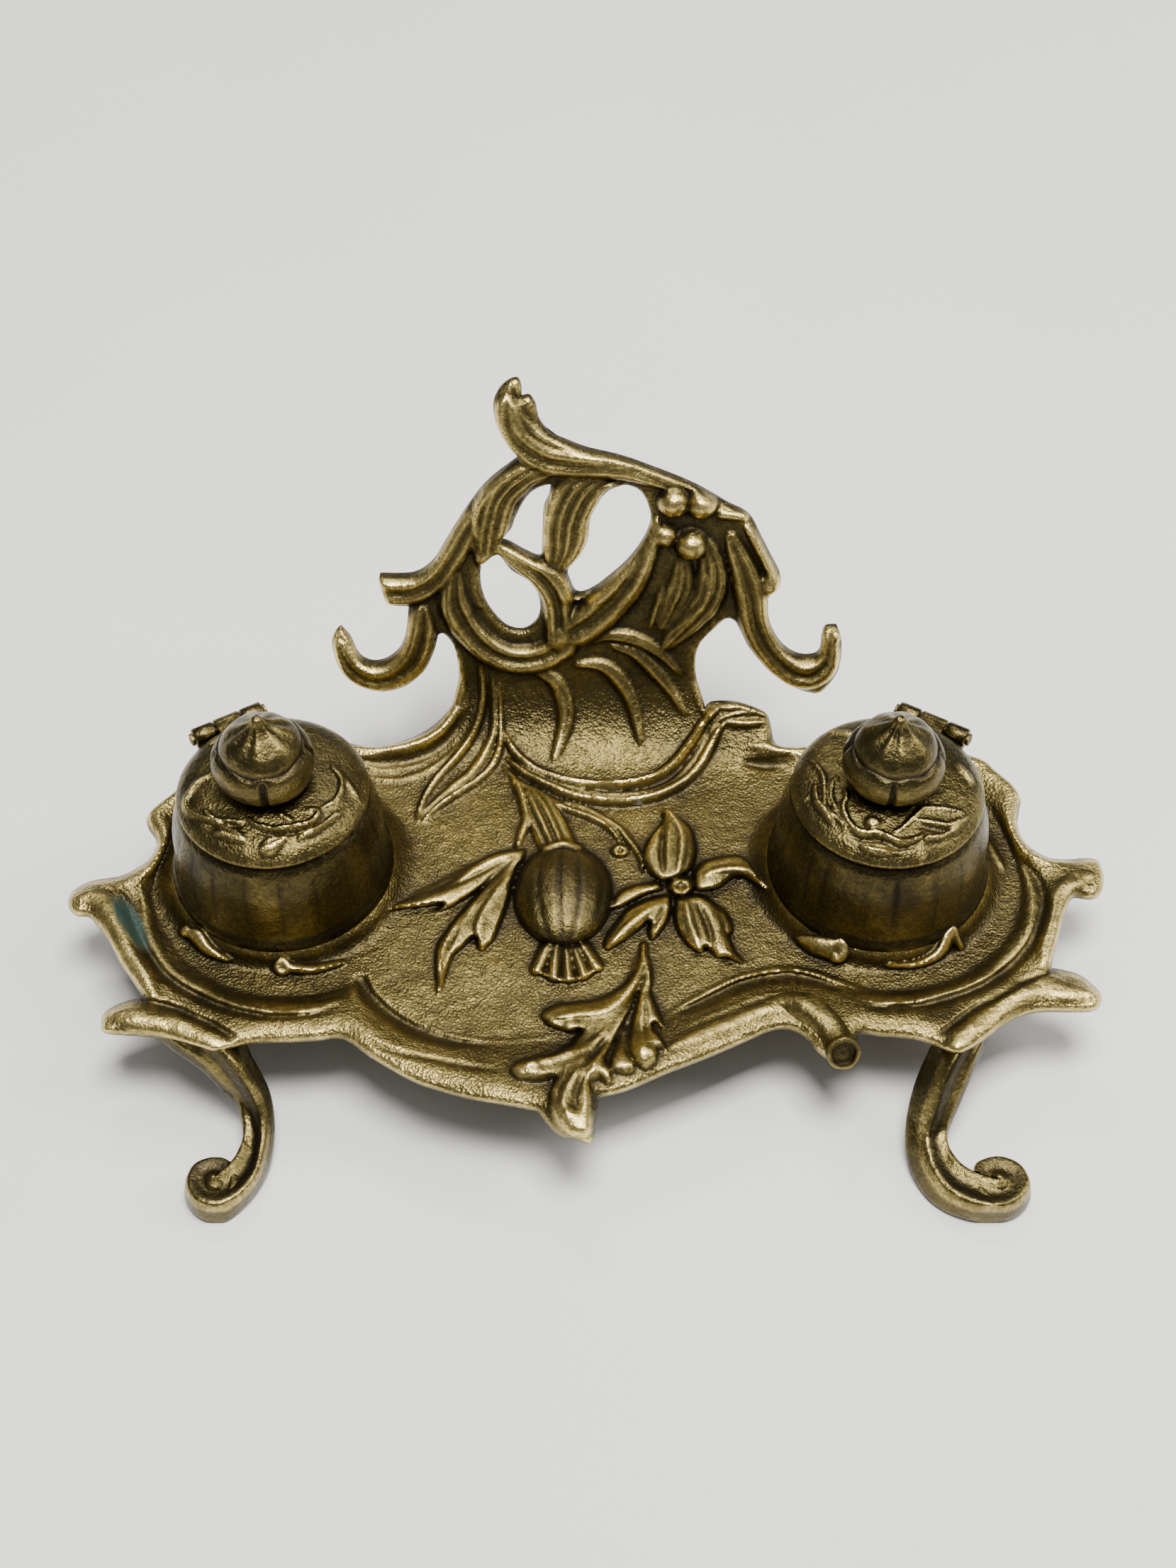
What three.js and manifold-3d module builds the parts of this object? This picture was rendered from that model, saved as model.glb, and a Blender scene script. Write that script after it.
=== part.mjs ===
// Double inkwell of cast brass: a leaf-shaped tray on four scroll legs, two ink wells with hinged lids,
// and an upright openwork gallery with a pen hook at each side.
// Millimetres, +Z up, +Y towards the gallery. Sizes below are measured from the line through the two
// ears of the tray; the whole model is moved at the end so that its origin is the centre of its base.
import * as THREE from 'three';
import { mergeVertices } from 'three/addons/utils/BufferGeometryUtils.js';
import Module from 'manifold-3d';

const wasm = await Module();
wasm.setup();

// ---- driving dimensions ----
const gap = 0.3;                 // clearance between neighbouring pieces
const originY = 5.8;             // middle of the model's depth, from the ear line

const rimZ = 30;                 // top of the tray's rim
const soleZ = 24.2;              // underside of the tray
const dishZ = 27;                // floor of the tray's dish
const bendStartY = 42;           // where the sheet starts to bend up into the gallery
const bendRadius = 22;
const bendAngle = THREE.MathUtils.degToRad(70);
const bendSteps = 9;

const galleryFront = 1.5;        // gallery face in front of the bent sheet's own surface
const galleryThickness = 4.5;
const strapThickness = 2.9;      // strap that carries the gallery under the tray
const strapHalfWidth = 22;
const strapStartY = 27;

const wellX = { left: -82, right: 78 };
const wellY = 8;
const moundTopZ = 34;
const wellBaseZ = moundTopZ + gap;
const wellFloorZ = 39;
const wellTopZ = 60;
const wellBore = 21.5;
const linerTopZ = 59.2;
const linerWall = 2.6;
const roundSegments = 30;

const hingeZ = 60.2;
const hingeReach = 28;           // hinge axis from the well's centre
const hingeTurn = THREE.MathUtils.degToRad(30); // hinge is behind the well, turned outwards
const knuckleRadius = 2.7;
const knuckleBore = 1.5;
const middleKnuckle = 7.4;
const outerKnuckle = 6;
const pinRadius = 1.2;

const lidBottomZ = wellTopZ + 0.4;
const lidHole = 2.3;
const studRadius = 2;

const footHeight = 9;
const footRadius = 7.2;
const footX = { left: 95.5, right: 105 };
const footY = -77;
const legTubeRadius = 4.2;
const rearLegShift = -26;        // a rear leg is a front leg turned back to front and moved by this
const tongueZ = soleZ - gap;     // top of every tongue under the tray
const tongueThickness = 3.5;
const legScrewX = 101;
const legScrewY = -37;
const galleryScrewX = 14;
const galleryScrewY = 33;

const brass = new THREE.MeshStandardMaterial({ color: 0x8f7a45, roughness: 0.38, metalness: 1 });
const darkBrass = new THREE.MeshStandardMaterial({ color: 0x5f5132, roughness: 0.5, metalness: 1 });
const steel = new THREE.MeshStandardMaterial({ color: 0x6d6a62, roughness: 0.5, metalness: 1 });
const glass = new THREE.MeshStandardMaterial({ color: 0xcfd8cf, roughness: 0.08, transparent: true, opacity: 0.5 });

// ---- closed outlines: runs of points joined by smooth curves, with a corner between two runs ----
const trayRuns = [
  [[-48, 53], [-56, 50.8], [-68, 51], [-80, 53], [-96, 48], [-110, 40.5], [-120, 31], [-121.5, 24], [-118.5, 16],
    [-123, 7], [-134, 3], [-140, -2], [-137.5, -8], [-130.5, -12], [-123, -24], [-116, -34.5]],
  [[-116, -34.5], [-122.5, -36.5], [-126, -42], [-122, -45.5], [-108, -46.5], [-97, -52], [-91, -50]],
  [[-91, -50], [-80, -46.5], [-63, -45.5], [-55, -51], [-38, -60.5], [-13, -66.5]],
  [[-13, -66.5], [-8, -73], [-1, -75.5], [2, -71], [3, -63]],
  [[3, -63], [20, -56], [40, -46.5], [52, -42.5], [58, -47], [64, -51.5], [69, -48], [74, -44.5]],
  [[74, -44.5], [88, -46.5], [92, -53], [98, -49.5], [108, -42], [118, -38], [131, -37.5], [134, -33], [129, -28],
    [122, -26]],
  [[122, -26], [127, -10], [133, -3.5], [138, -1], [140, 5], [137, 10.8], [126, 11], [119.5, 18], [119.5, 35],
    [110, 46], [95, 51], [78, 52], [62, 50.2], [53, 51.5], [49, 57], [38, 59.6]],
  [[38, 59.6], [0, 61], [-38, 59.4]],
  [[-38, 59.4], [-42, 56], [-48, 53]],
];

const dishRuns = [
  [[-125, 0], [-121, -12], [-112, -27], [-97, -37.5], [-80, -41], [-65, -39.5], [-55, -42.5], [-45, -50], [-25, -56],
    [-5, -55.5], [20, -47.5], [35, -41], [50, -36.5], [62, -38.5], [78, -39.5], [92, -36], [105, -30], [115, -19],
    [121, -4], [119, 12], [113, 28], [105, 38], [88, 44], [66, 43], [48, 33], [30, 26], [0, 24], [-30, 26],
    [-50, 34], [-66, 43], [-85, 45], [-104, 38], [-113, 26], [-115, 12], [-122, 5], [-125, 0]],
];

// lower edge of the gallery where it meets the tray, from left to right
const seamPoints = [[-37, 60.2], [-30, 57], [-24, 53.5], [-18, 46], [-10, 41], [0, 38.5], [10, 38], [18, 40],
  [25, 46], [30, 52.5], [32.5, 58]];

// gallery outline up the sheet's surface, measured along the sheet from the ear line
const galleryRuns = [
  [[-36, 66], [-36.5, 76], [-39, 81.5], [-41.5, 82.5]],
  [[-41.5, 82.5], [-43, 77], [-50, 67], [-60, 65], [-69, 71], [-71.3, 78], [-68.5, 84.5]],
  [[-68.5, 84.5], [-66, 81], [-63, 75], [-57, 74], [-51, 81], [-49.5, 91]],
  [[-49.5, 91], [-54, 91.2], [-57, 96], [-57, 100.5]],
  [[-57, 100.5], [-48, 100.8], [-42, 105], [-36, 116], [-29, 125.5], [-18, 135.5]],
  [[-18, 135.5], [-23, 143], [-25, 150], [-22.5, 155.5], [-18.5, 157.2], [-15.5, 153], [-13, 146], [-5, 139.5],
    [15, 133], [30, 126.5], [44, 117.5], [50, 106], [52.7, 99], [49.5, 93.5]],
  [[49.5, 93.5], [51, 84], [56, 77], [62, 75.5], [65, 80], [67, 84.8]],
  [[67, 84.8], [70.5, 81], [70, 71], [64, 64.5], [56, 67], [47, 75], [40.5, 86.5], [37, 86.5], [31.5, 80],
    [30, 73], [31, 66]],
];

const galleryHoles = [
  [[-10, 127.5], [-16.5, 124], [-20, 117], [-24, 111.5], [-17, 107.5], [-12.7, 106.5], [-12.3, 117], [-10, 127.5]],
  [[10, 127.3], [3, 123], [0, 112], [-5.5, 101], [-2, 95.2], [6, 100], [14.5, 110], [17, 120], [10, 127.3]],
  [[-29.2, 104], [-24, 105.5], [-16, 98.5], [-13.3, 91], [-16.5, 84.2], [-23, 85], [-28.5, 93], [-29.2, 104]],
];

// ---- helpers ----
function toPoints(run) {
  return run.map(([x, y]) => new THREE.Vector2(x, y));
}

function shapeOf(runs) {
  const shape = new THREE.Shape();
  shape.moveTo(...runs[0][0]);
  for (const run of runs) {
    shape.splineThru(toPoints(run.slice(1)));
  }
  return shape;
}

function toSolid(geometry) {
  const bare = geometry.clone();
  bare.deleteAttribute('normal');
  bare.deleteAttribute('uv');
  const welded = mergeVertices(bare, 1e-4);
  const corners = welded.index.array;
  const kept = [];
  for (let i = 0; i < corners.length; i += 3) {
    const [a, b, c] = [corners[i], corners[i + 1], corners[i + 2]];
    if (a !== b && b !== c && c !== a) {
      kept.push(a, b, c);
    }
  }
  return new wasm.Manifold(new wasm.Mesh({
    numProp: 3,
    vertProperties: new Float32Array(welded.attributes.position.array),
    triVerts: new Uint32Array(kept),
  }));
}

function toMesh(name, solid, material) {
  const { vertProperties, triVerts } = solid.getMesh();
  const geometry = new THREE.BufferGeometry();
  geometry.setAttribute('position', new THREE.BufferAttribute(new Float32Array(vertProperties), 3));
  geometry.setIndex(new THREE.BufferAttribute(new Uint32Array(triVerts), 1));
  geometry.computeVertexNormals();
  const mesh = new THREE.Mesh(geometry, material);
  mesh.name = name;
  return mesh;
}

// upright prism of a flat outline between two heights
function prism(shape, lowZ, highZ, curveSegments = 2) {
  const geometry = new THREE.ExtrudeGeometry(shape, { depth: highZ - lowZ, bevelEnabled: false, curveSegments });
  geometry.translate(0, 0, lowZ);
  return toSolid(geometry);
}

// solid of revolution about +Z; the profile runs from the lower axis point outwards and up to the axis
function turned(profile, segments = roundSegments) {
  const geometry = new THREE.LatheGeometry(toPoints(profile), segments);
  geometry.rotateX(Math.PI / 2);
  return toSolid(geometry);
}

function rod(radius, lowZ, highZ, segments = 16) {
  return turned([[0, lowZ], [radius, lowZ], [radius, highZ], [0, highZ]], segments);
}

function box(sizeX, sizeY, sizeZ, x, y, z) {
  const geometry = new THREE.BoxGeometry(sizeX, sizeY, sizeZ);
  geometry.translate(x, y, z);
  return toSolid(geometry);
}

// side profile in (y, z) pushed along X
function sideProfile(points, halfWidth) {
  const shape = new THREE.Shape(toPoints(points));
  const geometry = new THREE.ExtrudeGeometry(shape, { depth: 2 * halfWidth, bevelEnabled: false });
  geometry.translate(0, 0, -halfWidth);
  geometry.rotateY(Math.PI / 2);
  geometry.rotateX(Math.PI / 2);
  return toSolid(geometry);
}

function bendPoint(radius, angle) {
  const centreZ = rimZ + bendRadius;
  return [bendStartY + radius * Math.sin(angle), centreZ - radius * Math.cos(angle)];
}

function bendArc(radius, fromAngle, toAngle) {
  const points = [];
  for (let i = 0; i <= bendSteps; i += 1) {
    points.push(bendPoint(radius, fromAngle + ((toAngle - fromAngle) * i) / bendSteps));
  }
  return points;
}

// ---- tray and gallery ----
// flat sheet that bends up at the back, wider than the object
function bentSheet() {
  const outer = bendRadius + rimZ - soleZ;
  const top = [[-90, rimZ], ...bendArc(bendRadius, 0, bendAngle)];
  const under = [[-90, soleZ], ...bendArc(outer, 0, bendAngle)].reverse();
  return sideProfile([...top, ...under], 150);
}

function seamRegion(drop) {
  const shape = new THREE.Shape();
  shape.moveTo(seamPoints[0][0] - drop, seamPoints[0][1] - drop);
  shape.splineThru(toPoints(seamPoints.slice(1).map(([x, y]) => [x, y - drop])));
  shape.lineTo(32.5 + drop, 75);
  shape.lineTo(-37 - drop, 75);
  return prism(shape, 0, 80, 1);
}

function mound(x) {
  return turned([[0, soleZ], [30, soleZ], [36, dishZ - 0.5], [31.5, dishZ + 3], [29.5, moundTopZ], [0, moundTopZ]])
    .translate(x, wellY, 0);
}

function screwHole(x, y, radius, lowZ, highZ) {
  return rod(radius, lowZ, highZ).translate(x, y, 0);
}

function legScrewPlaces() {
  return [-1, 1].flatMap((side) => [
    [side * legScrewX, legScrewY],
    [side * legScrewX, -legScrewY + rearLegShift],
  ]);
}

function makeTray(sheet) {
  let solid = sheet.intersect(prism(shapeOf(trayRuns), 0, 80));
  solid = solid.subtract(prism(shapeOf(dishRuns), dishZ, 50, 1));
  solid = solid.subtract(seamRegion(0.6));
  for (const x of Object.values(wellX)) {
    solid = solid.add(mound(x)).subtract(screwHole(x, wellY, 2.3, 0, 50));
  }
  for (const [x, y] of legScrewPlaces()) {
    solid = solid.subtract(screwHole(x, y, 2, 0, 28.5));
  }
  for (const side of [-1, 1]) {
    solid = solid.subtract(screwHole(side * galleryScrewX, galleryScrewY, 2, 0, 28.5));
  }
  return toMesh('tray', solid, brass);
}

function gallerySheet() {
  const backZ = galleryFront - galleryThickness;
  let plate = prism(shapeOf(galleryRuns), backZ, galleryFront);
  for (const run of galleryHoles) {
    plate = plate.subtract(prism(shapeOf([run]), backZ - 1, galleryFront + 1));
  }
  const [endY, endZ] = bendPoint(bendRadius, bendAngle);
  const bendEnd = bendStartY + bendRadius * bendAngle;
  const turnDegrees = THREE.MathUtils.radToDeg(bendAngle);
  return plate.translate(0, -bendEnd, 0).rotate([turnDegrees, 0, 0]).translate(0, endY, endZ);
}

function galleryStrap() {
  const inner = bendRadius + rimZ - soleZ + gap;
  const outer = inner + strapThickness;
  const joinAngle = THREE.MathUtils.degToRad(57);
  const endAngle = THREE.MathUtils.degToRad(67);
  const centreZ = rimZ + bendRadius;
  const under = [[strapStartY, centreZ - outer], ...bendArc(outer, 0, endAngle)];
  const above = [[strapStartY, centreZ - inner], ...bendArc(inner, 0, joinAngle),
    bendPoint(bendRadius + 2, joinAngle), bendPoint(bendRadius + 2, endAngle)];
  return sideProfile([...above, ...under.reverse()], strapHalfWidth);
}

function makeGallery(sheet) {
  let solid = sheet.intersect(seamRegion(0)).add(gallerySheet()).add(galleryStrap());
  for (const side of [-1, 1]) {
    solid = solid.subtract(screwHole(side * galleryScrewX, galleryScrewY, 2, 0, 26));
  }
  return toMesh('gallery', solid, brass);
}

// ---- legs ----
function stadium(from, to, radius) {
  const angle = Math.atan2(to[1] - from[1], to[0] - from[0]);
  const shape = new THREE.Shape();
  shape.absarc(to[0], to[1], radius, angle - Math.PI / 2, angle + Math.PI / 2, false);
  shape.absarc(from[0], from[1], radius, angle + Math.PI / 2, angle + (3 * Math.PI) / 2, false);
  return shape;
}

function legSolid(reachX) {
  const footStart = 87;
  const arm = [
    [99, -43, 19.6], [95, -50, 18.8], [89, -57.5, 15], [86.3, -64.5, 9.5], [footStart, -71.5, 5.6],
    [footStart + 0.4 * (reachX - footStart), -77.5, 4.8], [reachX - 2, -79.3, 4.6], [reachX, footY, 4.6],
  ];
  const path = new THREE.CatmullRomCurve3(arm.map(([x, y, z]) => new THREE.Vector3(x, y, z)));
  const section = new THREE.Shape();
  section.absarc(0, 0, legTubeRadius, 0, 2 * Math.PI, false);
  const tube = new THREE.ExtrudeGeometry(section, {
    steps: 16, extrudePath: path, bevelEnabled: false, curveSegments: 5,
  });
  const tongue = prism(stadium([legScrewX, legScrewY], [98, -44], 4.6), tongueZ - tongueThickness, tongueZ, 4);
  const foot = rod(footRadius, 0, footHeight, 22).translate(reachX, footY, 0);
  return toSolid(tube).add(foot).add(tongue).subtract(screwHole(legScrewX, legScrewY, 2, 0, 50));
}

function makeLeg(name, sideName, rear) {
  let solid = legSolid(rear ? footX.right : footX[sideName]);
  if (sideName === 'left') {
    solid = solid.mirror([1, 0, 0]);
  }
  if (rear) {
    solid = solid.mirror([0, 1, 0]).translate(0, rearLegShift, 0);
  }
  return toMesh(name, solid, brass);
}

// ---- wells, liners and lids, each made about its own axis and then placed ----
function alongHinge(solid) {
  return solid.rotate([0, 90, 0]).translate(0, hingeReach, hingeZ);
}

function barrel(radius, length, middle) {
  return alongHinge(rod(radius, -length / 2, length / 2, 14)).translate(middle, 0, 0);
}

function wellSolid() {
  const wall = [[0, wellBaseZ], [28, wellBaseZ], [28.3, 36.5], [26.8, 39], [27.3, 43], [27.7, 47], [27.4, 51.5],
    [26.4, 56], [24.7, 58.8], [24.6, wellTopZ], [wellBore, wellTopZ], [wellBore, wellFloorZ], [0, wellFloorZ]];
  let solid = turned(wall);
  solid = solid.subtract(barrel(knuckleRadius + 0.5, middleKnuckle + 2 * gap, 0));
  for (const side of [-1, 1]) {
    const middle = side * (middleKnuckle / 2 + gap + outerKnuckle / 2);
    const lug = box(outerKnuckle, 5.5, 4.6, middle, hingeReach - 2.75, hingeZ - 2.5);
    solid = solid.add(barrel(knuckleRadius, outerKnuckle, middle)).add(lug.subtract(rod(wellBore, 0, 99, roundSegments)));
  }
  const pinHole = barrel(knuckleBore, 40, 0);
  return solid.subtract(pinHole).subtract(screwHole(0, 0, 2.3, 0, 38.4));
}

function linerSolid() {
  const outer = wellBore - gap - 0.1;
  const inner = outer - linerWall;
  const lowZ = wellFloorZ + gap;
  return turned([[0, lowZ], [outer - 1, lowZ], [outer, lowZ + 1], [outer, linerTopZ], [inner, linerTopZ],
    [inner, lowZ + 3.5], [inner - 1.5, lowZ + 2.2], [0, lowZ + 2.2]]);
}

function pinSolid() {
  const half = middleKnuckle / 2 + gap + outerKnuckle;
  const head = half + gap;
  const profile = [[0, -head - 1], [1.7, -head - 0.6], [1.7, -head], [pinRadius, -head], [pinRadius, head],
    [1.7, head], [1.7, head + 0.6], [0, head + 1]];
  return alongHinge(turned(profile, 16));
}

function lidSolid() {
  const dome = [[lidHole, 64], [21.2, 64], [21.2, lidBottomZ], [24.4, lidBottomZ], [25, 61.4], [24.8, 62.8],
    [22.5, 64.6], [17, 66.2], [9, 67.3], [lidHole, 67.4], [lidHole, 64]];
  const leafDepth = 5.4;
  const leaf = box(middleKnuckle, leafDepth, 2.2, 0, hingeReach - leafDepth / 2, hingeZ + 1.6);
  return turned(dome).add(barrel(knuckleRadius, middleKnuckle, 0)).add(leaf)
    .subtract(barrel(knuckleBore, 40, 0));
}

function finialSolid() {
  return turned([[0, 60.8], [studRadius, 60.8], [studRadius, 67.8], [5.5, 67.8], [9.5, 69.5], [11.8, 73],
    [12.2, 77], [11.2, 81], [8.4, 84.8], [4.6, 88], [1.6, 90.2], [0, 91]], 24);
}

function nutSolid() {
  const nutRadius = 4;
  const bore = studRadius + gap;
  return turned([[bore, 61.3], [nutRadius, 61.3], [nutRadius, 63.7], [bore, 63.7], [bore, 61.3]], 6);
}

function screwSolid(shankRadius, headRadius, headLowZ, headTopZ, tipZ) {
  return turned([[0, headLowZ], [headRadius, headLowZ], [headRadius, headTopZ], [shankRadius, headTopZ],
    [shankRadius, tipZ - 1], [shankRadius - 0.8, tipZ], [0, tipZ]], 14);
}

function addWellSet(group, sideName) {
  const set = new THREE.Group();
  set.position.set(wellX[sideName], wellY, 0);
  set.rotation.z = sideName === 'left' ? hingeTurn : -hingeTurn;
  set.add(toMesh(`well_${sideName}`, wellSolid(), brass));
  set.add(toMesh(`ink_liner_${sideName}`, linerSolid(), glass));
  set.add(toMesh(`hinge_pin_${sideName}`, pinSolid(), darkBrass));
  set.add(toMesh(`well_screw_${sideName}`, screwSolid(2, 4, 21.6, soleZ - gap, 38.1), steel));
  set.add(toMesh(`lid_${sideName}`, lidSolid(), brass));
  set.add(toMesh(`lid_finial_${sideName}`, finialSolid(), brass));
  set.add(toMesh(`lid_nut_${sideName}`, nutSolid(), darkBrass));
  group.add(set);
}

function addLegSet(group, sideName) {
  const side = sideName === 'left' ? -1 : 1;
  const headTopZ = tongueZ - tongueThickness - gap;
  group.add(makeLeg(`front_leg_${sideName}`, sideName, false));
  group.add(makeLeg(`rear_leg_${sideName}`, sideName, true));
  const places = { front: legScrewY, rear: -legScrewY + rearLegShift };
  for (const [end, y] of Object.entries(places)) {
    const screw = toMesh(`leg_screw_${end}_${sideName}`, screwSolid(1.7, 3.4, headTopZ - 1.8, headTopZ, 28.2), steel);
    screw.position.set(side * legScrewX, y, 0);
    group.add(screw);
  }
  const strapUnderZ = soleZ - gap - strapThickness;
  const headZ = strapUnderZ - gap;
  const strapScrew = toMesh(`gallery_screw_${sideName}`, screwSolid(1.7, 3.4, headZ - 1.8, headZ, 28.2), steel);
  strapScrew.position.set(side * galleryScrewX, galleryScrewY, 0);
  group.add(strapScrew);
}

const inkwell = new THREE.Group();
const sheet = bentSheet();
inkwell.add(makeTray(sheet));
inkwell.add(makeGallery(sheet));
for (const sideName of ['left', 'right']) {
  addWellSet(inkwell, sideName);
  addLegSet(inkwell, sideName);
}
inkwell.position.y = -originY;

export default inkwell;
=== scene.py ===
"""Cast-brass double inkwell: a leaf tray on scroll legs, two lidded wells and an openwork gallery."""
import math

import bmesh
import bpy
import numpy as np
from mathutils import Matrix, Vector
from mathutils.geometry import delaunay_2d_cdt


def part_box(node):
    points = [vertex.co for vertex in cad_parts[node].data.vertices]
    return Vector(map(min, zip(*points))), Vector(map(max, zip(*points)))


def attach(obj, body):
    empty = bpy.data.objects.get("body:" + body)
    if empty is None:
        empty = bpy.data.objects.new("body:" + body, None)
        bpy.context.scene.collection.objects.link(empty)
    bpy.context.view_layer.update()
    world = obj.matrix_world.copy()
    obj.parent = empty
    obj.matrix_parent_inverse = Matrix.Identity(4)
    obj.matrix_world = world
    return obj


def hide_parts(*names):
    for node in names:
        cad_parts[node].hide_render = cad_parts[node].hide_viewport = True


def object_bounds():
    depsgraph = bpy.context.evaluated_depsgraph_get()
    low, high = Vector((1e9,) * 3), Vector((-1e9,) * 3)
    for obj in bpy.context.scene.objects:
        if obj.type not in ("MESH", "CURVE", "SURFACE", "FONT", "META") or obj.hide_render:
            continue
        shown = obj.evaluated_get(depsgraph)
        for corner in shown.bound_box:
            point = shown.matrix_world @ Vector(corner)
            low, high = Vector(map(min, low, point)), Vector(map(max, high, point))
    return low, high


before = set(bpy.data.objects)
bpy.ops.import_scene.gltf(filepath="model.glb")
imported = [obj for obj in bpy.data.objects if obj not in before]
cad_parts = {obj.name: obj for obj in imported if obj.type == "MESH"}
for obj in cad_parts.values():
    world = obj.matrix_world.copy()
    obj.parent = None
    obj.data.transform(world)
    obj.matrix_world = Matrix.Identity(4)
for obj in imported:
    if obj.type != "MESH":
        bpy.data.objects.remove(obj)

CAD_BOX = [list(corner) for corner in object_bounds()]
random = np.random.default_rng(7)

# ---- driving dimensions, in millimetres; plan y is measured from the line through the tray's ears ----
MM = 0.001
CASTING_X = (-143, 143)      # the tray and gallery's relief: across, and along the sheet
CASTING_S = (-82, 160)
GRID = 0.55                  # spacing of that relief's grid
BACK_GRID = 3.0              # spacing of the plain back's points
LID_GRID = 0.3               # spacing of a lid's own relief
RIM_Z = 30.0                 # top of the tray's rim
SHEET_THICKNESS = 5.8
BEND_START = 42.0            # where the sheet bends up into the gallery
BEND_RADIUS = 22.0
BEND_ANGLE = math.radians(70)
GALLERY_BACK = -3.0          # the gallery's back face, from its front
GALLERY_ROLL = 1.9           # how far in from its edge the gallery is rounded
EDGE_LIP = 1.2               # height of the square lip under a rolled edge
VIEW_SLANT = 0.78            # a low front edge lies this much further back for each mm of depth
STAIN_CENTRE = (-121.5, -11.0)   # the green stain on the left ear
STAIN_SIZE = (3.6, 10.0)
STAIN_SLANT = 0.15
WELL_Y = 8.0
WELL_BORE = 21.5
FLUTES = 19                  # worn flutes round a well
MOUND_RADIUS = 29.0
MOUND_HEIGHT = 2.4
MOUND_REACH = 36.0           # where the swelling under a well dies away
LID_REACH = 27.0             # half the width of a lid's relief
HINGE_REACH = 28.0           # from the well's axis to the hinge pin
HINGE_TURN = math.radians(30)
HINGE_Z = 60.2
KNUCKLE_RADIUS = 2.7
KNUCKLE_BORE = 1.5
KNUCKLE_CHAMFER = 0.35
MIDDLE_KNUCKLE = 7.4
OUTER_KNUCKLE = 6.0
GAP = 0.3                    # between two knuckles
LEFT_FOOT = (-95.5, -77)     # middles of the front legs' feet
RIGHT_FOOT = (105, -77)
REAR_LEG_SHIFT = -26.0       # the y of a rear leg and that of its front leg add up to this
TONGUE_TOP = 23.9            # the tongue that is screwed to the tray's underside
TONGUE_SIZE = (9, 8, 3.4)
TONGUE_PLACE = (100.2, -36.4)
BRANCH_RADIUS = 4.4

SIDES = ("left", "right")


def centre_of(node):
    """The middle of a CAD node's box, in metres."""
    low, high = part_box(node)
    return (low + high) / 2


well_axis = {side: centre_of("lid_finial_" + side) / MM for side in SIDES}
shift_y = well_axis["left"].y - WELL_Y       # plan y to the frame's y
well_x = {side: well_axis[side].x for side in SIDES}


# ---- curves ----
def stretches(points):
    """Four neighbours at a time: the smooth stretch runs between the middle two."""
    return zip(points[:-3], points[1:-2], points[2:-1], points[3:])


def stretch(a, b, c, d, count):
    """Points on the smooth curve from b towards c, with a and d as the neighbours."""
    t = np.linspace(0, 1, count, endpoint=False)[:, None]
    square = (2 * a - 5 * b + 4 * c - d) * t ** 2
    cube = (3 * b - a - 3 * c + d) * t ** 3
    return 0.5 * (2 * b + (c - a) * t + square + cube)


def with_ends(points):
    """The points with one more at each end, so that the curve starts and ends on them."""
    p = np.array(points, float)
    return np.vstack([2 * p[0] - p[1], p, 2 * p[-1] - p[-2]])


def smooth(points, step=0.8):
    """Points about one step apart along a smooth curve through the given ones."""
    pieces = []
    for a, b, c, d in stretches(with_ends(points)):
        count = max(2, math.ceil(np.linalg.norm(c - b) / step))
        pieces.append(stretch(a, b, c, d, count))
    return np.vstack(pieces + [np.array(points[-1:], float)])


def outline(runs, step=0.8):
    """A closed loop of smooth runs that meet at corners."""
    loop = []
    for i, run in enumerate(runs):
        following = runs[(i + 1) % len(runs)][0]
        points = list(run) if tuple(run[-1]) == tuple(following) else list(run) + [following]
        loop.append(smooth(points, step)[:-1])
    return np.vstack(loop)


def ringed(loop):
    """A closed loop as a line that ends where it starts."""
    return np.vstack([loop, loop[:1]])


def inside(loops, x, s):
    """Which points of a grid lie within closed loops; a loop in a loop is a hole."""
    result = np.zeros((len(s), len(x)), bool)
    for loop in loops:
        a, b = loop, np.roll(loop, -1, 0)
        for i, level in enumerate(s):
            hit = (a[:, 1] > level) != (b[:, 1] > level)
            if hit.any():
                rise = (level - a[hit, 1]) / (b[hit, 1] - a[hit, 1])
                crossings = np.sort(a[hit, 0] + rise * (b[hit, 0] - a[hit, 0]))
                result[i] ^= np.searchsorted(crossings, x) % 2 == 1
    return result


def ease(low, high, value):
    """A soft step: nought at low, one at high."""
    t = np.clip((value - low) / (high - low), 0, 1)
    return t * t * (3 - 2 * t)


def blurred(field, sigma):
    """Gaussian blur of a grid, sigma in cells."""
    reach = max(1, math.ceil(2.5 * sigma))
    weights = np.exp(-0.5 * (np.arange(-reach, reach + 1) / sigma) ** 2)
    weights /= weights.sum()
    for axis in (0, 1):
        pads = [(reach, reach) if a == axis else (0, 0) for a in (0, 1)]
        padded = np.pad(field, pads, mode="edge")
        size = field.shape[axis]
        field = sum(w * np.take(padded, range(k, k + size), axis) for k, w in enumerate(weights))
    return field


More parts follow.
